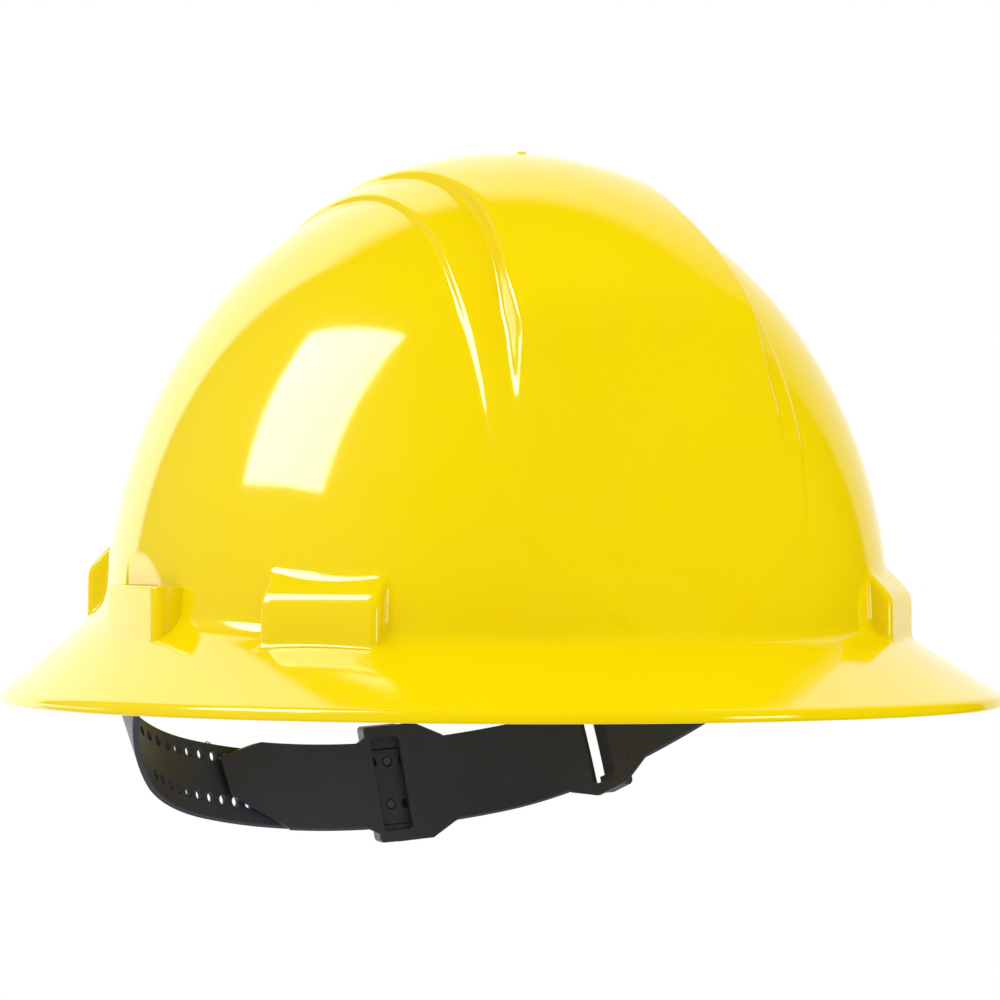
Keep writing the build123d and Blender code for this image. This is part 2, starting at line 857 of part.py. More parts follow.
def lock_holes(radius, inner, outer, places):
    """Round bars square to the loop in the two rows of lock holes."""
    bars = []
    for distance in places:
        for row in (-hole_row_spacing / 2, hole_row_spacing / 2):
            plane = nape_plane(distance, inner, row)
            with BuildPart() as bar:
                with BuildSketch(plane):
                    Circle(radius)
                extrude(amount=outer - inner)
            bars.append(bar.part)
    return bars


def make_nape_holed():
    """Outer nape strap, on the wearer's right, with two rows of lock holes."""
    inner = strap_wall + strap_gap
    outer = inner + strap_wall
    arm_face = rivet_arm_face(-1)
    limit = reach / 2
    end_chamfer = nape_holed_width * strap_end_cut_share
    end_middle = rear_middle(holed_end_x)
    half = nape_holed_width / 2
    with BuildPart() as limits:
        with BuildSketch(Plane.XZ):
            with BuildLine():
                Polyline(
                    (-limit, -limit), (holed_end_x - end_chamfer, -limit),
                    (holed_end_x - end_chamfer, end_middle - half),
                    (holed_end_x, end_middle - half + end_chamfer),
                    (holed_end_x, end_middle + half - end_chamfer),
                    (holed_end_x - end_chamfer, end_middle + half),
                    (holed_end_x - end_chamfer, limit), (-limit, limit),
                    close=True)
            make_face()
        extrude(amount=reach, both=True)
    wall = loop_wall(inner, outer)
    band = strap_prism(nape_holed_width)
    places = [keeper_window_distance + (holes_beyond_pin - i) * hole_pitch for i in range(hole_count)]
    holes = lock_holes(hole_radius, inner - strap_gap, outer + strap_gap, places)
    relief = turned_bar(
        -1, nape_pivot_y, nape_pivot_height, rivet_boss_radius + rivet_boss_relief,
        rivet_boss_face - overrun, rivet_boss_face + rivet_play)
    boss = turned_bar(
        -1, nape_pivot_y, nape_pivot_height, rivet_boss_radius, rivet_boss_face + rivet_play, arm_face)
    bore = turned_bar(
        -1, nape_pivot_y, nape_pivot_height, rivet_radius + rivet_clearance,
        rivet_boss_face - overrun, arm_face + overrun)
    with BuildPart() as strap:
        add(wall)
        add(band, mode=Mode.INTERSECT)
        add(limits.part, mode=Mode.INTERSECT)
        add(relief, mode=Mode.SUBTRACT)
        add(boss)
        add(bore, mode=Mode.SUBTRACT)
        for hole in holes:
            add(hole, mode=Mode.SUBTRACT)
    return strap.part


def make_nape_pinned():
    """Inner nape strap, on the wearer's left, with its tongue, two keepers and the lock pins."""
    layer = strap_wall + strap_gap
    bridge_outer = 2 * layer + strap_wall
    bridge_inner = 2 * layer
    limit = reach / 2
    half = nape_pinned_width / 2
    tip_middle = rear_middle(tongue_tip_x) + tongue_tip_lift
    lower_shoulder_x = tongue_tip_x + tongue_tip_slant + tongue_lower_run
    upper_shoulder_x = tongue_tip_x + tongue_upper_run
    with BuildPart() as limits:
        with BuildSketch(Plane.XZ):
            with BuildLine():
                Polyline(
                    (tongue_tip_x + tongue_tip_slant, tip_middle - tongue_tip_width / 2),
                    (lower_shoulder_x, rear_middle(lower_shoulder_x) - half),
                    (lower_shoulder_x, -limit), (limit, -limit), (limit, limit),
                    (upper_shoulder_x, limit),
                    (upper_shoulder_x, rear_middle(upper_shoulder_x) + half),
                    (tongue_tip_x, tip_middle + tongue_tip_width / 2),
                    close=True)
            make_face()
        extrude(amount=reach, both=True)
    wall = loop_wall(0, strap_wall)
    deep_wall = loop_wall(0, bridge_outer)
    tunnel_wall = loop_wall(strap_wall, bridge_inner)
    band = strap_prism(nape_pinned_width)
    passing = strap_prism(nape_holed_width + 2 * strap_gap)
    keepers = []
    depth = 2 * bridge_outer
    for place, length, window_place, window_length, bridge_shift in (
            (keeper_distance, keeper_length, keeper_window_distance, keeper_window_length, 0),
            (corner_keeper_distance, corner_keeper_length, corner_window_distance, corner_window_length,
             keeper_bridge_margin + keeper_slit)):
        face = nape_window(place, length, keeper_half_height, depth, keeper_corner_run, keeper_corner_cut)
        bridge = nape_window(
            window_place + bridge_shift / 2, window_length + 2 * keeper_bridge_margin - bridge_shift,
            keeper_half_height, depth, keeper_window_corner, keeper_window_corner)
        opening = nape_window(
            window_place, window_length, keeper_window_half_height, depth,
            keeper_window_corner, keeper_window_corner)
        widened = wall & face
        loop_piece = (deep_wall & bridge) - (tunnel_wall & passing)
        hole = wall & opening
        keepers.append((widened, loop_piece, hole))
    pins = lock_holes(lock_pin_radius, layer, bridge_inner + strap_gap, [keeper_window_distance])
    arm_face = rivet_arm_face(1)
    relief = turned_bar(
        1, nape_pivot_y, nape_pivot_height, rivet_boss_radius + rivet_boss_relief,
        rivet_boss_face - overrun, rivet_boss_face + rivet_play)
    boss = turned_bar(
        1, nape_pivot_y, nape_pivot_height, rivet_boss_radius, rivet_boss_face + rivet_play, arm_face)
    bore = turned_bar(
        1, nape_pivot_y, nape_pivot_height, rivet_radius + rivet_clearance,
        rivet_boss_face - overrun, arm_face + overrun)
    with BuildPart() as strap:
        add(wall)
        add(band, mode=Mode.INTERSECT)
        add(limits.part, mode=Mode.INTERSECT)
        for widened, loop_piece, hole in keepers:
            add(widened)
            add(loop_piece)
            add(hole, mode=Mode.SUBTRACT)
        for pin in pins:
            add(pin)
        add(relief, mode=Mode.SUBTRACT)
        add(boss)
        add(bore, mode=Mode.SUBTRACT)
    return strap.part


def strap_end(rise):
    """Side view of one sewn end: the webbing round the key's bar, closing to two layers above it."""
    bar_inner = key_plate_radius
    bar_outer = key_plate_radius + key_plate_wall
    loop_inner = bar_inner - webbing_gap
    loop_outer = bar_outer + webbing_gap
    middle = key_plate_radius + key_plate_wall / 2
    bar_low = key_plate_top + rise - key_bar_height
    bar_high = key_plate_top + rise
    outside = [
        (loop_inner - webbing, bar_low - webbing_gap - webbing),
        (loop_outer + webbing, bar_low - webbing_gap - webbing),
        (loop_outer + webbing, bar_high + strap_loop_shoulder),
        (middle + webbing, bar_high + strap_loop_neck),
        (middle - webbing, bar_high + strap_loop_neck),
        (loop_inner - webbing, bar_high + strap_loop_shoulder),
    ]
    inside = [
        (loop_inner, bar_low - webbing_gap),
        (loop_outer, bar_low - webbing_gap),
        (loop_outer, bar_high + webbing_gap),
        (loop_inner, bar_high + webbing_gap),
    ]
    return outside, inside


def make_crown_strap(side, lowered):
    """Textile strap from the front key on one side, over the crown, to the rear key on the other."""
    middle = key_plate_radius + key_plate_wall / 2
    spring = key_plate_top + pocket_rear_lift + strap_loop_neck
    crown_height = dome_base_height + centre_band_rise - shell_wall - crown_clearance - lowered
    rise = crown_height - spring
    plane = pocket_plane(side, -1)
    front_out, front_in = strap_end(0)
    rear_out, rear_in = strap_end(pocket_rear_lift)
    front_neck = key_plate_top + strap_loop_neck
    with BuildPart() as strap:
        with BuildSketch(plane):
            with Locations((0, spring)):
                Ellipse(middle, rise)
                Ellipse(middle - webbing, rise - webbing, mode=Mode.SUBTRACT)
            with Locations((0, spring)):
                Rectangle(reach, reach, align=(Align.CENTER, Align.MAX), mode=Mode.SUBTRACT)
        extrude(amount=strap_width / 2, both=True)
        with BuildSketch(plane):
            with Locations((0, spring)):
                Ellipse(middle + webbing, rise + webbing)
                Ellipse(middle, rise, mode=Mode.SUBTRACT)
            with Locations((0, spring)):
                Rectangle(reach, reach, align=(Align.CENTER, Align.MAX), mode=Mode.SUBTRACT)
            with Locations((0, spring + strap_fold)):
                Rectangle(reach, reach, align=(Align.CENTER, Align.MIN), mode=Mode.SUBTRACT)
        extrude(amount=strap_width / 2, both=True)
        with BuildSketch(plane):
            with Locations((middle, front_neck)):
                Rectangle(2 * webbing, spring - front_neck, align=(Align.CENTER, Align.MIN))
        extrude(amount=strap_width / 2, both=True)
        with BuildSketch(plane):
            with BuildLine():
                Polyline(*front_out, close=True)
            make_face()
            with BuildLine():
                Polyline(*front_in, close=True)
            make_face(mode=Mode.SUBTRACT)
        extrude(amount=strap_width / 2, both=True)
        with BuildSketch(plane):
            with BuildLine():
                Polyline(*[(-x, z) for x, z in rear_out], close=True)
            make_face()
            with BuildLine():
                Polyline(*[(-x, z) for x, z in rear_in], close=True)
            make_face(mode=Mode.SUBTRACT)
        extrude(amount=strap_width / 2, both=True)
    return strap.part


def front_block(half_width, low, high):
    """Block over the front of the loop between two heights."""
    with BuildPart() as body:
        with Locations((0, 0, low)):
            Box(2 * half_width, 2 * loop_rear, high - low, align=(Align.CENTER, Align.MAX, Align.MIN))
    return body.part


def pad_layers():
    """Distances out from the loop of the brow pad's faces, from the head outwards."""
    band_inner = -headband_gap - headband_wall - pad_gap
    lining = band_inner - 2 * pad_cover_wall - pad_foam_wall
    flap_inner = -headband_gap + pad_gap
    return lining, band_inner, flap_inner, flap_inner + pad_cover_wall


def make_pad_cover():
    """Cover of the brow pad: hollow for its foam, folded over the headband's top edge."""
    lining, band_inner, flap_inner, flap_outer = pad_layers()
    roof = headband_front_top + pad_gap
    front = front_block(pad_half_width, pad_bottom, pad_top)
    body = upright_wall(lining, flap_outer, pad_bottom, pad_top) & front
    band_space = upright_wall(band_inner, flap_inner, pad_bottom - overrun, roof)
    flap_space = upright_wall(
        flap_inner - pad_gap, flap_outer + overrun, pad_bottom - overrun, pad_top - pad_flap_drop)
    foam_space = upright_wall(
        lining + pad_cover_wall, band_inner - pad_cover_wall,
        pad_bottom + pad_cover_wall, pad_top - pad_cover_wall)
    foam_limit = front_block(
        pad_half_width - pad_cover_wall, pad_bottom + pad_cover_wall, pad_top - pad_cover_wall)
    hollow = foam_space & foam_limit
    with BuildPart() as cover:
        add(body)
        add(band_space, mode=Mode.SUBTRACT)
        add(flap_space, mode=Mode.SUBTRACT)
        add(hollow, mode=Mode.SUBTRACT)
    return cover.part


def make_pad_foam():
    """Foam strip sealed inside the brow pad's cover."""
    lining, band_inner = pad_layers()[:2]
    inset = pad_cover_wall + pad_foam_gap
    strip = upright_wall(lining + inset, band_inner - inset, pad_bottom + inset, pad_top - inset)
    limit = front_block(pad_half_width - inset, pad_bottom + inset, pad_top - inset)
    with BuildPart() as foam:
        add(strip)
        add(limit, mode=Mode.INTERSECT)
    return foam.part


def save(part, name):
    """Name one piece, write it and print what it holds."""
    part.label = name
    export_step(part, "parts/" + name + ".step")
    print(name, round(part.volume, 1), len(part.solids()))


os.makedirs("parts", exist_ok=True)
save(make_shell(), "shell")
for side, side_name in ((-1, "right"), (1, "left")):
    for end, end_name in ((-1, "front"), (1, "rear")):
        save(make_key(side, end), "suspension_key_" + end_name + "_" + side_name)
        save(make_button(side, end), "stud_cap_" + end_name + "_" + side_name)
    save(make_rivet_post(side), "nape_rivet_" + side_name)
    save(make_rivet_cap(side), "nape_rivet_cap_" + side_name)
save(make_crown_strap(1, 0), "crown_strap_upper")
save(make_crown_strap(-1, webbing + crossing_gap), "crown_strap_lower")
save(make_headband(), "headband")
save(make_pad_cover(), "brow_pad_cover")
save(make_pad_foam(), "brow_pad_foam")
save(make_nape_holed(), "nape_strap_holed")
save(make_nape_pinned(), "nape_strap_pinned")
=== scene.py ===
import math

import bmesh
import bpy
import numpy as np
from mathutils import Matrix, Vector


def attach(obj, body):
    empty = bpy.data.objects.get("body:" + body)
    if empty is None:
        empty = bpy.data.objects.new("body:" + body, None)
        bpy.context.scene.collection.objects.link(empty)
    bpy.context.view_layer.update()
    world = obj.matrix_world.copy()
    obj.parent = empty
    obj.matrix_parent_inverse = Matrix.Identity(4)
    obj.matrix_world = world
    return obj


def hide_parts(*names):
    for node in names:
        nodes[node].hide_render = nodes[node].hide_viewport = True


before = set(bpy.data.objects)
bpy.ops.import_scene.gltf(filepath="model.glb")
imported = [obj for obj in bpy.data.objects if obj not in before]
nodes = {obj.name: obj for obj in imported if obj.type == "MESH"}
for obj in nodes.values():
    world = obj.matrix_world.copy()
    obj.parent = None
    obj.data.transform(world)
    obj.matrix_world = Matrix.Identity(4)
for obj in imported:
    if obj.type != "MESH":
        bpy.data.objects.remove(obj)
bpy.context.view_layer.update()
MM = 0.001

# Shapes of the shell, in millimetres

DOME = (108.9, 112.0, 127.6)
BASE = 22.0
LIFT = 1.9
CENTRE = (112.0, 118.4, 131.2)
CENTRE_FORWARD = 4.4
REAR_SWELL = 3.2
WALL = 2.5
BRIM_A = 136.0
BRIM_B = 155.5
BRIM_FORWARD = 0.2
RIM = 3.0
RIM_WALL = 3.4
ROOT = 25.0
ROOT_SLOPE = math.tan(math.radians(3.1))
POCKET_ANGLE = math.radians(49.8)
POCKET_FACE = 115.2
POCKET_HALF = 17.2
POCKET_FACE_TOP = 30.5
POCKET_TOP = 38.2
POCKET_RUN = 7.5
POCKET_LIFT = 6.5
POCKET_ROOF = 5.0
SLOT_FACE = 113.8
SLOT_Y = -7.8
SLOT_HALF = 17.8
SLOT_TOP = 33.5
SLOT_GAP = 4.4
SLOT_WALL = 1.8
SLOT_FLOOR = 22.0
GATE = (1.4, -16.0, 153.1)
PANEL_RADIUS = 200.0
PANEL_FORWARD = 104.0
PANEL_BASE = 51.0
PANEL_LEAN = math.radians(13.0)

# Roundings of the shell's outer surface
OUTER_BAND_EDGE = 1.6
OUTER_BAND_ROOT = 1.8
CENTRE_BAND_EDGE = 2.2
CENTRE_BAND_ROOT = 2.5
PANEL_EDGE = 5.0
BRIM_ROOT = 6.0
POCKET_EDGE = 3.2
POCKET_SIDE_EDGE = 3.6
POCKET_ROOT = 2.4
SLOT_EDGE = 0.4
SLOT_MOUTH_EDGE = 0.2
GATE_EDGE = 0.8
GATE_ROOT = 0.6
RIM_EDGE = 2.0
RIM_FOOT_EDGE = 1.6

# Wider roundings for the first, soft search of the surface
SOFT_ROOT = 9.0
SOFT_SIDE = 13.0

# Bores of the key pockets: a wide mouth and a narrower throat behind it
BORE_ROOF_THINNING = 0.4
BORE_SLOPE_EDGE = 1.5
BORE_EDGE = 1.0
BORE_SIDE_EDGE = 2.0
BORE_BACK = 109.2
THROAT_HALF = 8.0
THROAT_BACK = 90.0
BACK_EDGE = 0.8
THROAT_ROOT = 0.6
INNER_ROOT = 5.0
INNER_SOFT_ROOT = 4.0


def smooth_table(heights, widths, spread):
    """A piecewise line through the given points with its corners rounded."""
    z = np.linspace(heights[0] - 40, heights[-1] + 40, 1600)
    w = np.interp(z, heights, widths)
    step = z[1] - z[0]
    reach = int(3 * spread / step)
    kernel = np.exp(-0.5 * (np.arange(-reach, reach + 1) * step / spread) ** 2)
    kernel /= kernel.sum()
    padded = np.pad(w, reach, mode="edge")
    return z, np.convolve(padded, kernel, mode="valid")


SPLIT = 103.0
SPLIT_HALF = 8
OUTER_Z, OUTER_W = smooth_table([20, 30, 40, 51, 75, 103], [12, 26, 37, 45.5, 46.2, 44.8], 2.5)
INNER_Z, INNER_W = smooth_table([20, 30, 40, 51, 62, 103], [12, 26, 37, 45.5, 42.2, 35.9], 2.5)
OUTER_PLACES = [-0.64, -0.45, -0.27, -0.05, 0.06, 0.18, 0.30, 0.42, 0.56, 0.64]
OUTER_SHARES = [1.0, 1.03, 1.035, 1.01, 0.971, 0.951, 0.947, 0.942, 0.98, 1.0]
INNER_PLACES = [-0.7, -0.5, -0.18, 0.0, 0.14, 0.27, 0.38, 0.48, 0.62, 0.71]
INNER_SHARES = [1.0, 1.02, 1.02, 0.985, 0.895, 0.855, 0.83, 0.835, 0.92, 1.0]
OUTER_S, OUTER_T = smooth_table([DOME[1] * p for p in OUTER_PLACES], [44.8 * w for w in OUTER_SHARES], 3.5)
INNER_S, INNER_T = smooth_table([DOME[1] * p for p in INNER_PLACES], [35.9 * w for w in INNER_SHARES], 3.5)


def smin(a, b, k):
    h = np.maximum(k - np.abs(a - b), 0) / k
    return np.minimum(a, b) - h * h * h * k / 6


def smax(a, b, k):
    return -smin(-a, -b, k)


def smoothstep(x, low, high):
    t = np.clip((x - low) / (high - low), 0, 1)
    return t * t * (3 - 2 * t)


def ellipsoid(x, y, z, size, cy, cz, inset):
    rx, ry, rz = size[0] - inset, size[1] - inset, size[2] - inset
    px, py, pz = x / rx, (y - cy) / ry, (z - cz) / rz
    m = np.sqrt(px * px + py * py + pz * pz) + 1e-9
    g = np.sqrt((px / rx) ** 2 + (py / ry) ** 2 + (pz / rz) ** 2) + 1e-9
    return m * (m - 1) / g


def crown(x, y, z, inset):
    ax = np.abs(x)
    dome = ellipsoid(x, y, z, DOME, 0, BASE, inset)
    rear = smoothstep(y, 10, 60) * smoothstep(-z, -84, -46) * REAR_SWELL
    outer = ellipsoid(x, y, z, DOME, 0, BASE + LIFT, inset) + rear
    centre = ellipsoid(x, y, z, CENTRE, -CENTRE_FORWARD, BASE, inset) + rear
    high = smoothstep(z, SPLIT - SPLIT_HALF, SPLIT + SPLIT_HALF)
    outer_width = np.interp(z, OUTER_Z, OUTER_W) * (1 - high) + np.interp(-y, OUTER_S, OUTER_T) * high
    inner_width = np.interp(z, INNER_Z, INNER_W) * (1 - high) + np.interp(-y, INNER_S, INNER_T) * high
    outer = smax(outer, ax - outer_width + inset, OUTER_BAND_EDGE)
    centre = smax(centre, ax - inner_width + inset, CENTRE_BAND_EDGE)
    body = smin(dome, outer, OUTER_BAND_ROOT)
    body = smin(body, centre, CENTRE_BAND_ROOT)
    panel_y = PANEL_FORWARD - inset - (z - PANEL_BASE) * math.tan(PANEL_LEAN)
    panel_y = panel_y - (PANEL_RADIUS - np.sqrt(PANEL_RADIUS ** 2 - np.minimum(ax, 120) ** 2))
    panel = (-y - panel_y) * math.cos(PANEL_LEAN)
    return smax(body, panel, PANEL_EDGE)


def brim_place(x, y):
    """Share of the way from the root to the edge, height of the top face, and its slope's cosine."""
    s = -y
    t = np.full_like(x, 0.4)
    for _ in range(7):
        a = DOME[0] + (BRIM_A - DOME[0]) * t
        b = DOME[1] + (BRIM_B - DOME[1]) * t
        c = BRIM_FORWARD * t
        u, v = x / a, (s - c) / b
        f = u * u + v * v - 1
        df = -2 * u * u * (BRIM_A - DOME[0]) / a - 2 * v * (BRIM_FORWARD + v * (BRIM_B - DOME[1])) / b
        df = np.where(np.abs(df) < 1e-6, -1e-6, df)
        t = np.clip(t - f / df, -1.2, 2.2)
    b = DOME[1] + (BRIM_B - DOME[1]) * t
    cosine = np.clip((s - BRIM_FORWARD * t) / b, -1, 1)
    sine2 = 1 - cosine * cosine
    root = ROOT - DOME[1] * cosine * ROOT_SLOPE
    top = root + (RIM - root) * t
    run = np.sqrt((BRIM_A - DOME[0]) ** 2 * sine2 + ((BRIM_B - DOME[1]) * cosine + BRIM_FORWARD) ** 2)
    slope_cos = run / np.sqrt(run * run + (root - RIM) ** 2)
    return t, top, slope_cos


def edge_distance(x, y, inset):
    a, b = BRIM_A - inset, BRIM_B - inset
    px, py = x / a, (-y - BRIM_FORWARD) / b
    m = np.sqrt(px * px + py * py) + 1e-9
    g = np.sqrt((px / a) ** 2 + (py / b) ** 2) + 1e-9
    return m * (m - 1) / g


def pocket_place(x, y):
    ax, ay = np.abs(x), np.abs(y)
    u = ax * math.sin(POCKET_ANGLE) + ay * math.cos(POCKET_ANGLE)
    v = ax * math.cos(POCKET_ANGLE) - ay * math.sin(POCKET_ANGLE)
    rise = np.where(y > 0, POCKET_LIFT, 0.0)
    return u, v, rise


def pocket(x, y, z, face_k, side_k):
    u, v, rise = pocket_place(x, y)
    face = u - POCKET_FACE
    nx, nz = POCKET_TOP - POCKET_FACE_TOP, POCKET_RUN
    length = math.hypot(nx, nz)
    slope = ((u - POCKET_FACE) * nx + (z - POCKET_FACE_TOP - rise) * nz) / length
    top = z - POCKET_TOP - rise
    side = np.abs(v) - POCKET_HALF
    body = smax(face, slope, face_k)
    body = smax(body, top, face_k)
    return smax(body, side, side_k)


def outside(x, y, z, soft=False):
    """Negative inside the outer surface of the shell."""
    _, top, slope_cos = brim_place(x, y)
    brim = (z - top) * slope_cos
    body = smin(crown(x, y, z, 0.0), brim, BRIM_ROOT)
    if soft:
        body = smin(body, pocket(x, y, z, SOFT_ROOT, SOFT_SIDE), SOFT_ROOT)
    else:
        body = smin(body, pocket(x, y, z, POCKET_EDGE, POCKET_SIDE_EDGE), POCKET_ROOT)
        ax = np.abs(x)
        gap_low, gap_high = SLOT_FACE - SLOT_WALL - SLOT_GAP, SLOT_FACE - SLOT_WALL
        across = smax(gap_low - ax, ax - gap_high, SLOT_MOUTH_EDGE)
        gap = smax(across, np.abs(y - SLOT_Y) - SLOT_HALF + SLOT_WALL, SLOT_EDGE)
        body = smax(body, -smax(gap, SLOT_FLOOR - z, SLOT_EDGE), SLOT_EDGE)
        gate = np.sqrt(x * x + (y - GATE[1]) ** 2) - GATE[0]
        body = smin(body, smax(gate, z - GATE[2], GATE_EDGE), GATE_ROOT)
    body = smax(body, edge_distance(x, y, 0.0), RIM_EDGE)
    return smax(body, -z, RIM_FOOT_EDGE)


def hollow(x, y, z, soft=False):
    """Negative in the space under the shell: inside its inner surface."""
    _, top, slope_cos = brim_place(x, y)
    brim = (z - top) * slope_cos + WALL
    brim = smax(brim, edge_distance(x, y, RIM_WALL), RIM_EDGE)
    body = smin(crown(x, y, z, WALL), brim, INNER_ROOT)
    u, v, rise = pocket_place(x, y)
    nx, nz = POCKET_TOP - POCKET_FACE_TOP, POCKET_RUN
    length = math.hypot(nx, nz)
    slope = ((u - POCKET_FACE) * nx + (z - POCKET_FACE_TOP - rise) * nz) / length
    slope = slope + WALL - BORE_ROOF_THINNING
    bore = smax(u - POCKET_FACE + WALL, slope, BORE_SLOPE_EDGE)
    bore = smax(bore, z - POCKET_TOP - rise + POCKET_ROOF, BORE_EDGE)
    wide = smax(smax(bore, np.abs(v) - POCKET_HALF + WALL, BORE_SIDE_EDGE), BORE_BACK - u, BACK_EDGE)
    throat = smax(smax(bore, np.abs(v) - THROAT_HALF, BORE_EDGE), THROAT_BACK - u, BACK_EDGE)
    space = smin(wide, throat, THROAT_ROOT)
    return smin(body, space, INNER_SOFT_ROOT if soft else BORE_EDGE)


# Sampling of the shell's surfaces along a guide curve

def arc(rho, z, radius, first, last, count):
    """Points of an arc by its centre, with the outward angle in degrees for each."""
    angles = np.linspace(first, last, count)
    return rho + radius * np.cos(angles), z + radius * np.sin(angles), angles


def guide(phi, counts, inset, fillet):
    """Profile curve and outward directions for one direction phi from the front, from the rim to the apex."""
    sx, sy = math.sin(phi), math.cos(phi)
    a, b = BRIM_A - inset[0], BRIM_B - inset[0]
    qa = (sx / a) ** 2 + (sy / b) ** 2
    qb = -2 * sy * BRIM_FORWARD / b ** 2
    qc = (BRIM_FORWARD / b) ** 2 - 1
    edge = (-qb + math.sqrt(qb * qb - 4 * qa * qc)) / (2 * qa)
    da, db, dc = DOME[0] - inset[1], DOME[1] - inset[1], DOME[2] - inset[1]
    root_rho = 1 / math.sqrt((sx / da) ** 2 + (sy / db) ** 2)
    root_z = ROOT - root_rho * sy * ROOT_SLOPE - inset[2]
    edge_z = RIM - inset[2]
    beta = math.atan2(root_z - edge_z, edge - root_rho)
    turn = math.pi / 2 - beta
    reach = fillet * math.tan(turn / 2)
    up = (root_rho - edge, root_z - edge_z)
    run = math.hypot(*up)
    up = (up[0] / run, up[1] / run)
    parts = []
    corner = inset[3]
    if inset[0] == 0:
        n = counts[0]
        rho = np.linspace(edge - RIM_WALL, edge - corner, n)
        parts.append((rho, np.zeros(n), np.full(n, -math.pi / 2)))
        parts.append(arc(edge - corner, corner, corner, -math.pi / 2, 0, 7))
        parts.append(arc(edge - corner, edge_z - corner * math.tan(beta / 2 + 0.4), corner, 0.02, turn, 8))
    else:
        n = counts[0]
        z = np.linspace(0.0, edge_z * 0.6, n)
        parts.append((np.full(n, edge), z, np.full(n, 0.0)))
        parts.append((np.full(3, edge), np.full(3, edge_z * 0.7), np.linspace(0.1, turn, 3)))
    line_start = 1.6 if inset[0] == 0 else 0.8
    share = np.linspace(line_start / run, 1 - reach / run, counts[1])
    parts.append((edge + up[0] * run * share, edge_z + up[1] * run * share, np.full(counts[1], turn)))
    rho, z, angle = arc(root_rho + fillet, root_z + reach, fillet, math.pi + turn, math.pi, counts[2] + 2)
    parts.append((rho[1:-1], z[1:-1], angle[1:-1] - math.pi))
    start = math.asin(min(1.0, (root_z + reach - BASE) / dc))
    eta = np.linspace(start, math.pi / 2 - 0.004, counts[3])
    parts.append((root_rho * np.cos(eta), BASE + dc * np.sin(eta),
                  np.arctan2(np.sin(eta) / dc, np.cos(eta) / root_rho)))
    return [np.concatenate(column) for column in zip(*parts)]


def direction_samples(scale):
    """Directions from the front to the rear, closer together where the shape has detail."""
    bands = [(0, 17, 0.5), (17, 34, 0.2), (34, 72, 0.16), (72, 108, 0.36), (108, 146, 0.3), (146, 180, 0.5)]
    out = []
    for low, high, step in bands:
        count = max(2, int(round((high - low) / (step * scale))))
        out.append(np.linspace(low, high, count, endpoint=False))
    return np.radians(np.append(np.concatenate(out), 180.0))


def gradient(field, x, y, z, soft):
    e = 0.04
    gx = field(x + e, y, z, soft) - field(x - e, y, z, soft)
    gy = field(x, y + e, z, soft) - field(x, y - e, z, soft)
    gz = field(x, y, z + e, soft) - field(x, y, z - e, soft)
    n = np.sqrt(gx * gx + gy * gy + gz * gz) + 1e-12
    return gx / n, gy / n, gz / n


def walk(field, x, y, z, dx, dy, dz, out, deep, steps, soft):
    """First place inside the field on the way from out to deep along each direction."""
    lam = np.linspace(out, -deep, steps)
    found = np.zeros(x.shape, bool)
    high = np.full(x.shape, lam[0])
    low = np.full(x.shape, lam[-1])
    for i, value in enumerate(lam):
        inside = (field(x + dx * value, y + dy * value, z + dz * value, soft) < 0) & ~found
        low = np.where(inside, value, low)
        high = np.where(inside, lam[max(i - 1, 0)], high)
        found |= inside
    for _ in range(14):
        middle = (low + high) / 2
        inside = field(x + dx * middle, y + dy * middle, z + dz * middle, soft) < 0
        low = np.where(inside, middle, low)
        high = np.where(inside, high, middle)
    value = np.where(found, (low + high) / 2, 0.0)
    return x + dx * value, y + dy * value, z + dz * value


def sample(field, phis, counts, inset, fillet, sign):
    """Grid of surface points and normals. sign is 1 for the outer surface and -1 for the inner one."""
    rows = [guide(p, counts, inset, fillet) for p in phis]
    rho = np.array([r[0] for r in rows])
    z = np.array([r[1] for r in rows])
    angle = np.array([r[2] for r in rows])
    sx, sy = np.sin(phis)[:, None], np.cos(phis)[:, None]
    x, y = rho * sx, -rho * sy
    dx, dy, dz = np.cos(angle) * sx, -np.cos(angle) * sy, np.sin(angle)
    if sign > 0:
        x, y, z = walk(field, x, y, z, dx, dy, dz, 13, 13, 18, True)
        dx, dy, dz = gradient(field, x, y, z, True)
        x, y, z = walk(field, x, y, z, dx, dy, dz, 5, 7, 13, False)
    else:
        x, y, z = walk(lambda *p: -field(*p), x, y, z, -dx, -dy, -dz, 12, 12, 18, False)
    nx, ny, nz = gradient(field, x, y, z, False)
    return x, y, z, nx * sign, ny * sign, nz * sign


